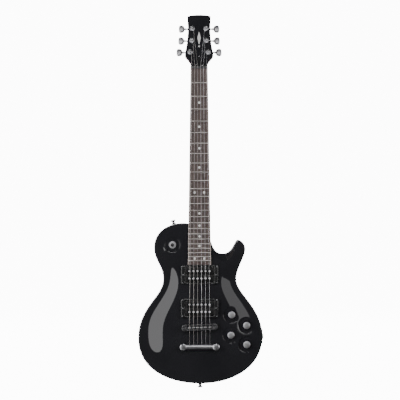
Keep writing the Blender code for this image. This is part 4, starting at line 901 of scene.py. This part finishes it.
def make_tuner(number):
    """One machine head: housing, washer and nut, turned post, wound string end, shaft and button."""
    low, high = corners(f"tuner_housing_{number}", HEAD)
    post_low, post_high = corners(f"tuner_post_{number}", HEAD)
    spot = (post_low + post_high) / 2 * (1, 1, 0)
    side = 1 if spot[0] > 0 else -1
    back = -HEAD_THICKNESS - 0.0003
    box_low, box_high = low.copy(), np.array((high[0], high[1], back))
    bush = skin(turned(((0.0046, back - 0.001), (0.0046, TUNER_NUT_HEIGHT),
                        (0.0043, TUNER_NUT_HEIGHT + 0.0001), (0.0037, TUNER_NUT_HEIGHT + 0.0001),
                        (0.0036, 0.0005))))
    turn = np.linspace(0, -2 * math.pi, 6, endpoint=False)
    hexagon = np.column_stack((np.cos(turn), np.sin(turn))) * 0.0064
    dense = np.vstack([hexagon[i] + (hexagon[(i + 1) % 6] - hexagon[i])
                       * np.linspace(0, 1, 6, endpoint=False)[:, None] for i in range(6)])
    washer = plate([ring((0, 0), 0.0067, 48)], 0.0003, 0.0009, 0.0002)
    nut = plate([dense], 0.0008, TUNER_NUT_HEIGHT, 0.0003)
    plug = rounded_box(box_low, box_high, 0.0035, 0.0022)
    cap = skin(turned(((0.0052, 0.0), (0.0052, -0.0006), (0.0046, -0.0010), (0.0001, -0.0012),
                       (0.0, -0.0012))))
    cap = (cap[0] + spot + (0, 0, box_low[2] + 0.0004), cap[1])
    front = together([bush, washer, nut])
    verts, faces = together([plug, cap, (front[0] + spot, front[1])])
    add_piece(f"tuner_casting_{number}", place(verts, HEAD), faces, nickel, slot="satin_nickel",
              replaces=[f"tuner_housing_{number}"])
    low_z, top = post_low[2], post_high[2]
    profile = ((0.0, low_z), (0.0033, low_z), (0.0033, low_z + 0.006), (0.0030, low_z + 0.006),
               (0.0030, 0.0045), (0.0027, 0.0052), (WAIST, 0.0060), (WAIST, 0.0086), (0.0027, 0.0092),
               (0.0030, 0.0098), (0.0030, top - 0.0007), (0.0027, top - 0.0002), (0.0018, top),
               (0.0016, top - 0.0005), (0.0, top - 0.0006))
    post = skin(turned(profile, 32))
    radius = STRING_RADII[number - 1]
    around = np.linspace(0, 2 * math.pi * WIND_TURNS[number - 1], 28 * WIND_TURNS[number - 1])
    fall = WIND_HEIGHT - 0.0001 - around / (2 * math.pi) * max(radius * 2.06, 0.0004)
    hold = WAIST + radius + 0.00002 + 0.0003 * np.clip((0.0062 - fall) / 0.0012, 0, 1)
    wound = tube(np.column_stack((-side * hold * np.cos(around), hold * np.sin(around),
                                  np.maximum(fall, 0.0048))), radius, 8)
    add_piece(f"tuner_post_turned_{number}", place(post[0] + spot, HEAD), post[1], steel,
              f"tuner_post_{number}", "polished_steel", [f"tuner_post_{number}"])
    add_piece(f"string_windings_{number}", place(wound[0] + spot, HEAD), wound[1],
              plain_string if number < 4 else wound_string, f"tuner_post_{number}", "polished_steel")
    low, high = corners(f"tuner_button_{number}", HEAD)
    size = np.array((0.0145, 0.0204, 0.0090))
    middle = (low + high) / 2
    middle[0] = (high[0] - size[0] / 2) if side > 0 else (low[0] + size[0] / 2)
    cushion = button_shape(middle, size, side)
    reach = abs(middle[0]) - (abs(spot[0]) - 0.0045)
    lathe = turned(((0.0, -reach), (0.0019, -reach), (0.0019, -0.0100), (0.0034, -0.0098), (0.0034, -0.0088),
                    (0.0025, -0.0083), (0.0022, -0.0076), (0.0030, -0.0066), (0.0026, -0.0030),
                    (0.0, -0.0030)), 24)
    rows = [np.column_stack((side * row[:, 2], row[:, 0], row[:, 1])) + middle for row in lathe]
    verts, faces = together([cushion, skin(rows)])
    add_piece(f"tuner_cushion_{number}", place(verts, HEAD), faces, button_nickel, f"tuner_button_{number}",
              "satin_nickel", [f"tuner_button_{number}"])


def wound_wire():
    """Nickel wire wound on a steel core: fine rings across the string, slightly dull."""
    material, tree, shader = new_material("wound_string", Metallic=1.0, Roughness=0.45)
    turns = object_pattern(tree, "ShaderNodeTexWave", {"Scale": 1100.0, "bands_direction": "Z"})
    tint = color_steps(tree, turns.outputs["Fac"], ((0.2, "8d8a88"), (0.7, "bdbab6")))
    tree.links.new(tint, shader.inputs["Base Color"])
    bump(tree, shader, turns.outputs["Fac"], 0.00006, 0.6)
    return material


nickel = satin_nickel()
button_nickel = satin_nickel("button_nickel", "b6b6b9", 0.46)
plain_string = worked_metal("plain_string", "f0f0f2", 0.50, 0.000002, (1, 1, 0.05))
wound_string = wound_wire()
for number in range(1, 7):
    make_tuner(number)


# ====================================================================================
# Strings. Three plain steel wires and three wound ones, drawn from the posts over the
# nut and the saddles down into the tailpiece.
# ====================================================================================
NUT_SPREAD = 0.0360
NUT_LENGTH = 0.0050
NUT_STRING_HEIGHT = 0.0019


def make_string(number):
    """A wire from post to tailpiece that bends at the nut's two edges and at the saddle's crest."""
    radius = STRING_RADII[number - 1]
    post_low, post_high = corners(f"tuner_post_{number}", HEAD)
    spot = (post_low + post_high) / 2
    side = 1 if spot[0] > 0 else -1
    saddle_low, saddle_high = corners(f"saddle_{number}")
    saddle = (saddle_low + saddle_high) / 2
    tail_high = corners("tailpiece")[1]
    across = NUT_SPREAD * (0.5 - (number - 1) / 5)
    lowered = 0.00045 - radius                    # thinner wires lie lower in the same slots
    start = place(np.array([(spot[0] - side * (WAIST + radius + 0.00002), spot[1], WIND_HEIGHT)]), HEAD)[0]
    nut = place(np.array([(across, NUT_LENGTH, NUT_STRING_HEIGHT - lowered),
                          (across, 0.0, NUT_STRING_HEIGHT - lowered)]), NECK)
    crest = place(np.array([(saddle[0], saddle[1], saddle_high[2] + 0.0003 + radius)]), FRONT)[0]
    tail = place(np.array([(saddle[0], tail_high[1] - 0.003, tail_high[2] - 0.0068)]), FRONT)[0]
    ends = np.array((start, *nut, crest, tail))
    path = [ends[0]]
    for a, b in zip(ends[:-1], ends[1:]):
        path += [a + (b - a) * share for share in (0.03, 0.5, 0.97)] + [b]
    add_piece(f"string_wire_{number}", *tube(path, radius), plain_string if number < 4 else wound_string,
              slot="polished_steel", replaces=[f"string_{number}"])


for number in range(1, 7):
    make_string(number)


# ====================================================================================
# Pickups. Two double-coil pickups with open black bobbins hang by spring-loaded
# screws in black plastic rings, which four small screws hold to the body.
# ====================================================================================
RING_CORNER = 0.004
POLE_SPREAD = 0.0490
POLE_RADIUS = 0.0024
COIL_SPACING = 0.0180
BOBBIN = (0.0690, 0.0181)
HEIGHT_SCREW_X = 0.0405


def make_pickup(name):
    """Ring with screws, and the moving part: base plate, two bobbins and twelve poles."""
    low, high = corners(f"pickup_ring_{name}")
    x, y = (low + high)[:2] / 2
    width, length = (high - low)[:2]
    opening = rectangle((x, y), 0.0716, 0.0386, 0.002)[::-1]
    verts, faces = plate([rectangle((x, y), width, length, RING_CORNER), opening], low[2], high[2], 0.0012)
    add_piece(f"mounting_ring_{name}", place(verts, FRONT), faces, ring_plastic, slot="black_plastic",
              replaces=[f"pickup_ring_{name}"])
    heads = [set_at(screw_head(0.0017), (x + a * (width / 2 - 0.0034), y + b * (length / 2 - 0.0030),
                                         high[2] - 0.0004),
                    FRONT, 0.4 * a + b) for a in (-1, 1) for b in (-1, 1)]
    heads += [set_at(screw_head(0.0019), (x + a * HEIGHT_SCREW_X, y, high[2] - 0.0003), FRONT, 0.9 * a)
              for a in (-1, 1)]
    add_piece(f"ring_screws_{name}", *together(heads), dark_screw, slot="dark_metal")
    low, high = corners(f"pickup_{name}")
    top = high[2]
    base = plate([rectangle((x, y), 0.0694, 0.0366, 0.001)], low[2], top - 0.0028, 0.0003)
    wraps = [plate([rectangle((x, y + a * COIL_SPACING / 2), 0.0655, 0.0150, 0.007)],
                   top - 0.0032, top - 0.0010) for a in (-1, 1)]
    verts, faces = together([base, *wraps])
    add_piece(f"coils_{name}", place(verts, FRONT), faces, coil_tape, f"pickup_{name}", "black_plastic",
              [f"pickup_{name}"])
    flanges = [plate([rectangle((x, y + a * (COIL_SPACING / 2 + 0.0002)), *BOBBIN, 0.0055)],
                     top - 0.0014, top - 0.00002, 0.0005) for a in (-1, 1)]
    verts, faces = together(flanges)
    add_piece(f"bobbins_{name}", place(verts, FRONT), faces, bobbin_plastic, f"pickup_{name}",
              "black_plastic")
    poles = []
    for a in (-1, 1):
        for k in range(6):
            spot = (x + POLE_SPREAD * (0.5 - k / 5), y + a * COIL_SPACING / 2, top)
            if a < 0:
                poles.append(set_at(screw_head(POLE_RADIUS, 1, 0.0007, 0.0006), spot, FRONT, 0.3 + 1.1 * k))
            else:
                poles.append(set_at(skin(turned(((POLE_RADIUS, -0.001), (POLE_RADIUS, 0.0002),
                                                 (POLE_RADIUS - 0.0002, 0.0004), (0.0, 0.00045)), 28)),
                                    spot, FRONT))
    add_piece(f"poles_{name}", *together(poles), pole_steel, f"pickup_{name}", "polished_steel")


ring_plastic = black_plastic("ring_plastic", "161617", 0.20, shine=1.9)
bobbin_plastic = black_plastic("bobbin_plastic", "101011", 0.26)
coil_tape = black_plastic("coil_tape", "0a0a0a", 0.55, 0.00003, 600.0)
pole_steel = worked_metal("pole_steel", "e2e2e4", 0.45)
dark_screw = worked_metal("dark_screw", "8a8a8c", 0.42)
for name in ("neck", "bridge"):
    make_pickup(name)


# ====================================================================================
# Bridge. A cast bar on two threaded posts whose knurled wheels set its height; each
# string crosses a wedge-shaped saddle that slides in the trough on its screw.
# ====================================================================================
BRIDGE_SLANT = math.radians(2.3)
BRIDGE_LENGTH = 0.0146
BRIDGE_WIDTH = 0.0870
TROUGH = (0.0620, 0.0096)
TROUGH_DEPTH = 0.0058
POST_SPAN = 0.0728
SADDLE_SPREAD = 0.0498           # outer saddle screw to outer saddle screw


def knurled(radius, low, high, teeth, depth, edge=0.0002):
    """Rows of a wheel whose rim rises and falls in even teeth."""
    turn = np.linspace(0, 2 * math.pi, teeth * 4, endpoint=False)
    cut = depth * np.tile((0, 0.5, 1, 0.5), teeth)
    rows = []
    for level, inner in ((low, edge), (low + edge, 0), (high - edge, 0), (high, edge)):
        reach = radius - inner - cut
        rows.append(np.column_stack((reach * np.cos(turn), reach * np.sin(turn), np.full_like(turn, level))))
    return rows


def make_bridge():
    """Bar with its trough and floor, screw heads in its front wall, posts and wheels."""
    low, high = corners("bridge_body")
    spot = (low + high) / 2
    c, s = math.cos(BRIDGE_SLANT), math.sin(BRIDGE_SLANT)
    bridge = FRONT @ np.array(((c, -s, 0, spot[0]), (s, c, 0, spot[1]), (0, 0, 1, high[2]), (0, 0, 0, 1)))
    depth = high[2] - low[2]
    outline = rectangle((0, 0), BRIDGE_WIDTH, BRIDGE_LENGTH, BRIDGE_LENGTH * 0.40, 10)
    trough = rectangle((0, 0), *TROUGH, 0.0008)[::-1]
    wells = [ring((side * POST_SPAN / 2, 0), 0.0023, 32)[::-1] for side in (-1, 1)]
    walls = plate([outline, trough, *wells], -TROUGH_DEPTH, 0, 0.0007)
    floor = plate([inset(outline, 0.0002), *wells], -depth, -TROUGH_DEPTH + 0.0001)
    heads = []
    for k in range(6):
        x = SADDLE_SPREAD * (0.5 - k / 5)
        verts, faces = screw_head(0.0016, 1, 0.0008, 0.0004)
        heads.append((np.column_stack((verts[:, 0] + x, -verts[:, 2] - BRIDGE_LENGTH / 2 + 0.0002,
                                       verts[:, 1] - 0.0030)), faces))
    verts, faces = together([walls, floor])
    # The bar wears the nickel darkened as painted shade.
    add_piece("bridge_bar", place(verts, bridge), faces, bridge_nickel_painted_shade, slot="satin_nickel",
              replaces=["bridge_body"])
    verts, faces = together(heads)
    add_piece("saddle_screws", place(verts, bridge), faces, steel, slot="polished_steel")
    for name in ("bass", "treble"):
        low, high = corners(f"bridge_post_{name}")
        x, y = (low + high)[:2] / 2
        wheel_top = corners("bridge_body")[0][2] - 0.0003
        wheel = skin(knurled(0.0085, wheel_top - 0.0022, wheel_top, 44, 0.00035))
        post = skin(turned(((0.0, low[2]), (0.0020, low[2]), (0.0020, high[2] - 0.0004), (0.0017, high[2]),
                            (0.0, high[2])), 28))
        slot = set_at(screw_head(0.0017, 1, 0.0003, 0.0006), (x, y, high[2] - 0.0002), FRONT, 0.5)
        verts, faces = together([wheel, post])
        verts, faces = together([(place(verts + (x, y, 0), FRONT), faces), slot])
        add_piece(f"bridge_post_turned_{name}", verts, faces, steel, slot="polished_steel",
                  replaces=[f"bridge_post_{name}"])
    for number in range(1, 7):
        low, high = corners(f"saddle_{number}")
        x, y = (low + high)[:2] / 2
        half, long = 0.0039, 0.0021
        rows = []
        for share in np.linspace(-1, 1, 17):
            notch = 0.00035 * max(0.0, 1 - (share / 0.16) ** 2)
            drop = 0.0009 * share ** 4
            crest = high[2] - notch - drop
            side = np.array(((-long, low[2]), (long, low[2]), (long, high[2] - 0.0028 - drop * 0.4),
                             (0.0007, crest - 0.0002), (0.0, crest), (-0.0007, crest - 0.0002),
                             (-long, high[2] - 0.0028 - drop * 0.4)))
            across, along = share * half, side[:, 0]
            rows.append(np.column_stack((x + c * across - s * along, y + s * across + c * along, side[:, 1])))
        verts, faces = skin(rows)
        add_piece(f"saddle_wedge_{number}", place(verts, FRONT), faces, saddle_nickel, f"saddle_{number}",
                  "satin_nickel", [f"saddle_{number}"])


# The bar's nickel is painted a darker grey than the same plating on the saddles and tailpiece: painted shade
# for its dark trough and gaps.
bridge_nickel_painted_shade = satin_nickel("bridge_nickel_painted_shade", "5e5e60", 0.32)
saddle_nickel = satin_nickel("saddle_nickel", "b4b4b6", 0.34)
make_bridge()


# ====================================================================================
# Tailpiece. A cast bar with a cushioned section, hooked under the broad slotted heads
# of two studs screwed into anchors in the body.
# ====================================================================================
def make_tailpiece():
    """Superellipse section swept across with its ends drawn in; studs with collars and slots."""
    low, high = corners("tailpiece")
    middle, size = (low + high) / 2, high - low
    turn = np.linspace(0, 2 * math.pi, 40, endpoint=False)
    ends = np.sin(np.linspace(0, math.pi / 2, 9))
    reach = size[0] / 2
    spots = np.concatenate((-reach + 0.0060 * (1 - ends[::-1]), reach - 0.0060 * (1 - ends)))
    spots = np.sort(spots)
    rows = []
    for x in spots:
        near = min(1.0, (reach - abs(x)) / 0.0060)
        draw = math.sqrt(max(1 - (1 - near) ** 2, 0.0))
        y = size[1] / 2 * draw * np.sign(np.cos(turn)) * np.abs(np.cos(turn)) ** 0.85
        z = size[2] / 2 * (0.4 + 0.6 * draw) * np.sign(np.sin(turn)) * np.abs(np.sin(turn)) ** 0.85
        rows.append(np.column_stack((np.full_like(y, middle[0] + x), middle[1] + y, middle[2] + z)))
    verts, faces = skin(rows)
    add_piece("stop_bar", place(verts, FRONT), faces, tail_nickel, slot="satin_nickel",
              replaces=["tailpiece"])
    for name in ("bass", "treble"):
        stud_low, stud_high = corners(f"tailpiece_stud_{name}")
        x, y = (stud_low + stud_high)[:2] / 2
        top = stud_high[2]
        dome = screw_head(0.0080, 1, 0.0012, 0.0010)
        head = (dome[0] + (0, 0, top - 0.0012), dome[1])
        skirt = skin(turned(((0.0, high[2] + 0.0003), (0.0076, high[2] + 0.0003), (0.0081, high[2] + 0.0007),
                             (0.0081, top - 0.0013), (0.0078, top - 0.0010), (0.0, top - 0.0010)), 64))
        collar = skin(turned(((0.0, stud_low[2]), (0.0040, stud_low[2]), (0.0040, low[2] - 0.0020),
                              (0.0074, low[2] - 0.0020), (0.0074, low[2] - 0.0003),
                              (0.0, low[2] - 0.0003)), 48))
        parts = []
        for verts, faces in (head, skirt, collar):
            parts.append(set_at((verts, faces), (x, y, 0), FRONT, 0.35 if name == "bass" else -0.5))
        add_piece(f"stud_turned_{name}", *together(parts), tail_nickel, slot="satin_nickel",
                  replaces=[f"tailpiece_stud_{name}"])


tail_nickel = satin_nickel("tail_nickel", "b0b0b3", 0.30)
make_tailpiece()


# ====================================================================================
# Controls. Four metal knobs pressed on the shafts of the potentiometers, and the
# three-way switch: a threaded bush with a round nut, and a lever with a plastic tip.
# ====================================================================================
def make_knob(node):
    """A barrel with a fine straight knurl, a chamfer, and a top that swells a little."""
    low, high = corners(node)
    x, y = (low + high)[:2] / 2
    radius, top = (high - low)[0] / 2, high[2]
    foot = top - 0.0150
    turn = np.linspace(0, 2 * math.pi, 240, endpoint=False)
    cut = 0.00028 * np.tile((0, 0.5, 1, 0.5), 60)
    rows = []
    for level, reach, share in ((foot, radius - 0.0010, 0), (foot, radius - 0.0004, 1),
                                (foot + 0.0005, radius, 1),
                                (top - 0.0030, radius, 1), (top - 0.0022, radius - 0.0002, 0)):
        rows.append(np.column_stack(((reach - share * cut) * np.cos(turn),
                                     (reach - share * cut) * np.sin(turn), np.full_like(turn, level))))
    shaft = skin(turned(((0.0, low[2]), (0.0030, low[2]), (0.0030, foot + 0.001), (0.0, foot + 0.001)), 28))
    verts, faces = together([skin(rows), shaft])
    # The barrel takes the darkened copy of the knob's metal, painted shade for its side.
    add_piece(f"{node}_barrel", place(verts + (x, y, 0), FRONT), faces, knob_side_painted_shade, node, "dark_metal", [node])
    cap = skin(turned(((0.0, top - 0.0024), (radius - 0.0003, top - 0.0024), (radius - 0.0003, top - 0.0018),
                       (radius - 0.0008, top - 0.0010), (radius - 0.0016, top - 0.0006),
                       (radius * 0.7, top - 0.0003),
                       (radius * 0.35, top - 0.0001), (0.0, top)), 96))
    add_piece(f"{node}_cap", place(cap[0] + (x, y, 0), FRONT), cap[1], knob_top, node, "satin_nickel")


def make_toggle():
    """Switch nut, bush and frame, and the lever from its ball to the bulb of the tip."""
    low, high = corners("toggle_lever")
    x, y = (low + high)[:2] / 2
    floor = dish_floor((x, y))
    nut_top, under = floor + 0.0027, floor - 0.0148
    nut = skin(knurled(0.0090, floor + 0.0003, nut_top, 40, 0.0003))
    bush_rows = turned(((0.0040, floor - 0.001), (0.0040, nut_top + 0.0001), (0.0046, nut_top + 0.0006),
                        (0.0055, nut_top + 0.0005), (0.0057, nut_top - 0.0002), (0.0057, under),
                        (0.0040, under)), 40)
    bush = loop_skin(bush_rows)
    box = rounded_box(np.array((-0.0060, -0.0150, under - 0.0177)),
                      np.array((0.0060, 0.0150, under - 0.0042)), 0.001, 0.001)
    verts, faces = together([nut, bush, box])
    add_piece("switch_body", place(verts + (x, y, 0), FRONT), faces, switch_nickel, slot="polished_steel",
              replaces=["toggle_switch"])
    tip = high[2]
    stem = turned(((0.0, low[2]), (0.0012, low[2]), (0.0017, low[2] + 0.004), (0.0029, low[2] + 0.0055),
                   (0.0034, low[2] + 0.0070), (0.0029, low[2] + 0.0085), (0.0017, low[2] + 0.010),
                   (0.0015, tip - 0.0118), (0.0, tip - 0.0118)), 32)
    verts, faces = skin(stem)
    add_piece("switch_stem", place(verts + (x, y, 0), FRONT), faces, steel, "toggle_lever", "polished_steel",
              ["toggle_lever"])
    bulb = [(0.0, tip - 0.0122), (0.0024, tip - 0.0122), (0.0027, tip - 0.0118)]
    for share in np.linspace(0, 1, 15):
        bulb.append((0.0027 + 0.0015 * math.sin(share * 2.4) if share < 0.62 else
                     0.0042 * math.sqrt(max(1 - ((share - 0.62) / 0.38) ** 2.4, 0)),
                     tip - 0.0116 + 0.0116 * share))
    verts, faces = skin(turned(bulb, 36))
    add_piece("switch_tip", place(verts + (x, y, 0), FRONT), faces, tip_plastic, "toggle_lever",
              "black_plastic")


knob_top = worked_metal("knob_top", "a6a6a8", 0.36)
# The barrel's dark grey is painted shade: the knob is one metal, and its side is painted dark to stand for
# the shade and dark reflection round it.
knob_side_painted_shade = worked_metal("knob_side_painted_shade", "3a3a3c", 0.34)
switch_nickel = satin_nickel("switch_nickel", "a8a8aa", 0.50)
tip_plastic = black_plastic("tip_plastic", "161616", 0.2)
for name in KNOBS:
    make_knob(name)
make_toggle()
refinish("potentiometers", worked_metal("zinc_can", "8a8a88", 0.45))


# ====================================================================================
# Fittings on the rim and the back. A steel plate lets the jack into the rim, turned
# buttons take the strap, and two black lids with screws close the rear cavities.
# ====================================================================================
JACK_SCREW_INSET = 0.0045        # screw to the plate's edges


def make_jack():
    """Plate with rounded corners and four screws, washer, hexagon nut and socket tube."""
    low, high = corners("jack_plate")
    plane = FRONT @ np.array(((0, 0, 1, low[0]), (1, 0, 0, (low + high)[1] / 2),
                              (0, 1, 0, (low + high)[2] / 2), (0, 0, 0, 1)), float)
    width, height, thick = high[1] - low[1], high[2] - low[2], high[0] - low[0]
    bore = ring((0, 0), 0.0050, 40)[::-1]
    verts, faces = plate([rectangle((0, 0), width, height, 0.004), bore], 0, thick, 0.0005)
    add_piece("jack_mounting_plate", place(verts, plane), faces, nickel, slot="satin_nickel",
              replaces=["jack_plate"])
    heads = [set_at(screw_head(0.0021),
                    (a * (width / 2 - JACK_SCREW_INSET), b * (height / 2 - JACK_SCREW_INSET), thick - 0.0003),
                    plane, 0.8 * a + 0.3 * b) for a in (-1, 1) for b in (-1, 1)]
    add_piece("jack_screws", *together(heads), steel, slot="polished_steel")
    low, high = corners("jack_socket")
    top, end = high[0] - corners("jack_plate")[0][0], low[0] - corners("jack_plate")[0][0]
    tube_rows = turned(((0.0033, end), (0.0047, end), (0.0047, top), (0.0044, top + 0.00002),
                        (0.0033, top - 0.0003)), 40)
    turn = np.linspace(0, -2 * math.pi, 36, endpoint=False)
    reach = 0.0068 * math.cos(math.pi / 6) / np.cos((np.abs(turn) % (math.pi / 3)) - math.pi / 6)
    hexagon = np.column_stack((reach * np.cos(turn), reach * np.sin(turn)))
    nut = plate([hexagon, ring((0, 0), 0.0046, 36)[::-1]], thick + 0.0006, top - 0.0002, 0.0003)
    washer = plate([ring((0, 0), 0.0073, 48), ring((0, 0), 0.0049, 36)[::-1]],
                   thick + 0.0001, thick + 0.0007, 0.0001)
    verts, faces = together([loop_skin(tube_rows), nut, washer])
    add_piece("jack_tube", place(verts, plane), faces, steel, slot="polished_steel", replaces=["jack_socket"])


def make_strap_button(node, heading):
    """A turned button with a waist, a rounded rim and a crossed screw, on a felt washer."""
    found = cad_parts[node]
    points = np.array([found.matrix_world @ vert.co for vert in found.data.vertices])
    way = np.array((heading[0], 0, heading[1]))
    way /= np.linalg.norm(way)
    along = points @ way
    foot = along.max() - 0.0100
    shank = points[along < foot - 0.002]
    origin = shank.mean(0) - way * (shank.mean(0) @ way - foot)
    side = np.array((0, 1.0, 0))
    third = np.cross(way, side)
    plane = np.eye(4)
    plane[:3, :4] = np.column_stack((side, third, way, origin))
    profile = [(0.0, 0.0100), (0.0030, 0.0100), (0.0048, 0.0099)]
    for share in np.linspace(0, 1, 7):
        profile.append((0.0050 + 0.0013 * math.sin(math.pi * share) ** 0.8, 0.0098 - 0.0026 * share))
    profile += [(0.0036, 0.0060), (0.0031, 0.0045), (0.0034, 0.0026), (0.0050, 0.0009), (0.0052, 0.0004),
                (0.0020, 0.0004), (0.0020, -0.0200), (0.0, -0.0200)]
    head = screw_head(0.0026, 2, 0.0006, 0.0005)
    head = (head[0] + (0, 0, 0.00935), head[1])
    verts, faces = together([skin(turned(profile, 40)), head])
    add_piece(f"{node}_turned", place(verts, plane), faces, nickel, slot="satin_nickel", replaces=[node])
    felt = plate([ring((0, 0), 0.0060, 36), ring((0, 0), 0.0022, 24)[::-1]], -0.0004, 0.0004, 0.0002)
    add_piece(f"{node}_felt", place(felt[0], plane), felt[1], felt_black, slot="black_plastic")


def make_lid(node, centres, radius, screws):
    """A flat lid whose outline is drawn round the controls, with countersunk screws."""
    low, high = corners(node)
    outline = hull(centres, radius)
    verts, faces = plate([outline], -high[2], -low[2], 0.0004)
    add_piece(f"{node}_lid", place(verts * (1, 1, -1), FRONT), faces, lid_plastic, slot="black_plastic",
              replaces=[node])
    heads = []
    for x, y in screws:
        verts, faces = screw_head(0.0026, 2, 0.0006, 0.0005)
        heads.append((place(verts * (1, 1, -1) + (x, y, low[2] + 0.0005), FRONT), faces))
    add_piece(f"{node}_screws", *together(heads), dark_screw, slot="dark_metal")


def coarse_felt():
    """Pressed black felt: matte and fibrous."""
    material, tree, shader = new_material("black_felt", Roughness=0.95, Sheen_Weight=0.2)
    fibre = object_pattern(tree, "ShaderNodeTexNoise", {"Scale": 2500.0, "Detail": 4.0})
    tint = color_steps(tree, fibre.outputs["Fac"], ((0.3, "0c0c0c"), (0.7, "1c1c1c")))
    tree.links.new(tint, shader.inputs["Base Color"])
    bump(tree, shader, fibre.outputs["Fac"], 0.0001, 0.7)
    return material


felt_black = coarse_felt()
lid_plastic = black_plastic("lid_plastic", "141415", 0.42, 0.00004, 900.0)
make_jack()
make_strap_button("strap_button_upper", (-0.2398, 0.9708))
make_strap_button("strap_button_lower", (0.0030, -1.0))
knob_places = list(knob_spots.values())
knob_middle = np.mean(knob_places, 0)
lid_reach = 0.0170 + 0.0050
make_lid("control_cover", knob_places, lid_reach,
         [spot + (spot - knob_middle) / np.linalg.norm(spot - knob_middle) * (lid_reach - 0.0038)
          for spot in knob_places])
make_lid("switch_cover", [toggle_spot], 0.0260,
         [toggle_spot + 0.0222 * np.array((math.cos(turn), math.sin(turn)))
          for turn in (math.pi / 2, 3.665, 5.760)])


# ====================================================================================
# Studio. The guitar stands in front of an evenly white room over a pale floor. Softboxes
# left and right shape the carve, a high strip lights the frets and two lamps the back.
# ====================================================================================
CAMERA_PLACE = (0.0015, -6.0, -0.3229)
CAMERA_ROLL = math.radians(0.12)
CAMERA_LENS = 220                # millimetres, on a sensor 36 mm wide
AIR_SEEN = 12.0                  # the room's brightness to the camera
AIR_LIGHT = 0.06                 # and to what it lights


def add_camera():
    """A long lens six metres off, at the middle of the instrument's height."""
    lens = bpy.data.cameras.new("camera")
    lens.lens = CAMERA_LENS
    lens.sensor_width = 36
    lens.clip_end = 100
    camera = bpy.data.objects.new("camera", lens)
    camera.location = CAMERA_PLACE
    camera.rotation_euler = (math.pi / 2, CAMERA_ROLL, 0)
    bpy.context.scene.collection.objects.link(camera)
    bpy.context.scene.camera = camera


def add_softbox(name, location, target, size, power, shade=(1, 1, 1)):
    """A rectangular area lamp turned to face a spot."""
    lamp = bpy.data.lights.new(name, "AREA")
    lamp.shape = "RECTANGLE"
    lamp.size, lamp.size_y = size
    lamp.energy = power
    lamp.color = shade
    held = bpy.data.objects.new(name, lamp)
    held.location = location
    held.rotation_euler = (Vector(target) - Vector(location)).to_track_quat("-Z", "Y").to_euler()
    bpy.context.scene.collection.objects.link(held)


def add_room():
    """Lights the air white to the camera and dimmer to everything that is lit by it."""
    world = bpy.data.worlds.new("studio")
    bpy.context.scene.world = world
    world.use_nodes = True
    tree = world.node_tree
    tree.nodes.clear()
    path = add_node(tree, "ShaderNodeLightPath")
    seen = add_node(tree, "ShaderNodeBackground", {"Color": (1, 1, 1, 1), "Strength": AIR_SEEN})
    dim = add_node(tree, "ShaderNodeBackground", {"Color": (1, 1, 1, 1), "Strength": AIR_LIGHT})
    mixed = add_node(tree, "ShaderNodeMixShader", {}, {0: path.outputs["Is Camera Ray"], 1: dim.outputs[0],
                                                      2: seen.outputs[0]})
    add_node(tree, "ShaderNodeOutputWorld", {}, {"Surface": mixed.outputs[0]})


def add_floor():
    """A matte near-white floor just under the lower strap button."""
    bm = bmesh.new()
    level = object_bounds()[0][2] - 0.0005
    for x, y in ((-20, -20), (20, -20), (20, 20), (-20, 20)):
        bm.verts.new((x, y, level))
    bm.faces.new(bm.verts)
    mesh = bpy.data.meshes.new("floor")
    bm.to_mesh(mesh)
    bm.free()
    material, tree, shader = new_material("paper_floor", Roughness=1.0, Emission_Strength=AIR_SEEN)
    shader.inputs["Emission Color"].default_value = (1, 1, 1, 1)
    cloud = object_pattern(tree, "ShaderNodeTexNoise", {"Scale": 3.0, "Detail": 2.0})
    tint = color_steps(tree, cloud.outputs["Fac"], ((0.3, "fbfbfb"), (0.7, "ffffff")))
    tree.links.new(tint, shader.inputs["Base Color"])
    mesh.materials.append(material)
    floor = bpy.data.objects.new("floor", mesh)
    bpy.context.scene.collection.objects.link(floor)
    floor.visible_glossy = False
    floor.visible_shadow = False
    floor.visible_diffuse = False


add_camera()
add_room()
add_floor()
add_softbox("softbox_left", (-1.61, -2.60, -1.11), (-0.11, 0.0, -1.11), (1.25, 3.38), 44)
add_softbox("softbox_right", (1.61, -2.60, -0.24), (0.11, 0.0, -0.24), (1.25, 1.0), 6.5)
add_softbox("key_left", (-2.6, -2.6, 0.6), (0, 0, -0.35), (1.6, 2.2), 60)
add_softbox("key_right", (2.6, -2.6, 0.4), (0, 0, -0.35), (1.6, 2.2), 50)
add_softbox("back_left", (-2.4, 2.6, 0.4), (0, 0, -0.40), (1.6, 2.2), 70)
add_softbox("back_right", (2.0, 2.8, 1.2), (0, 0, -0.40), (1.6, 2.2), 60)
add_softbox("high_strip", (0.0, -4.5, 1.75), (0, 0, -0.30), (2.4, 0.6), 70)
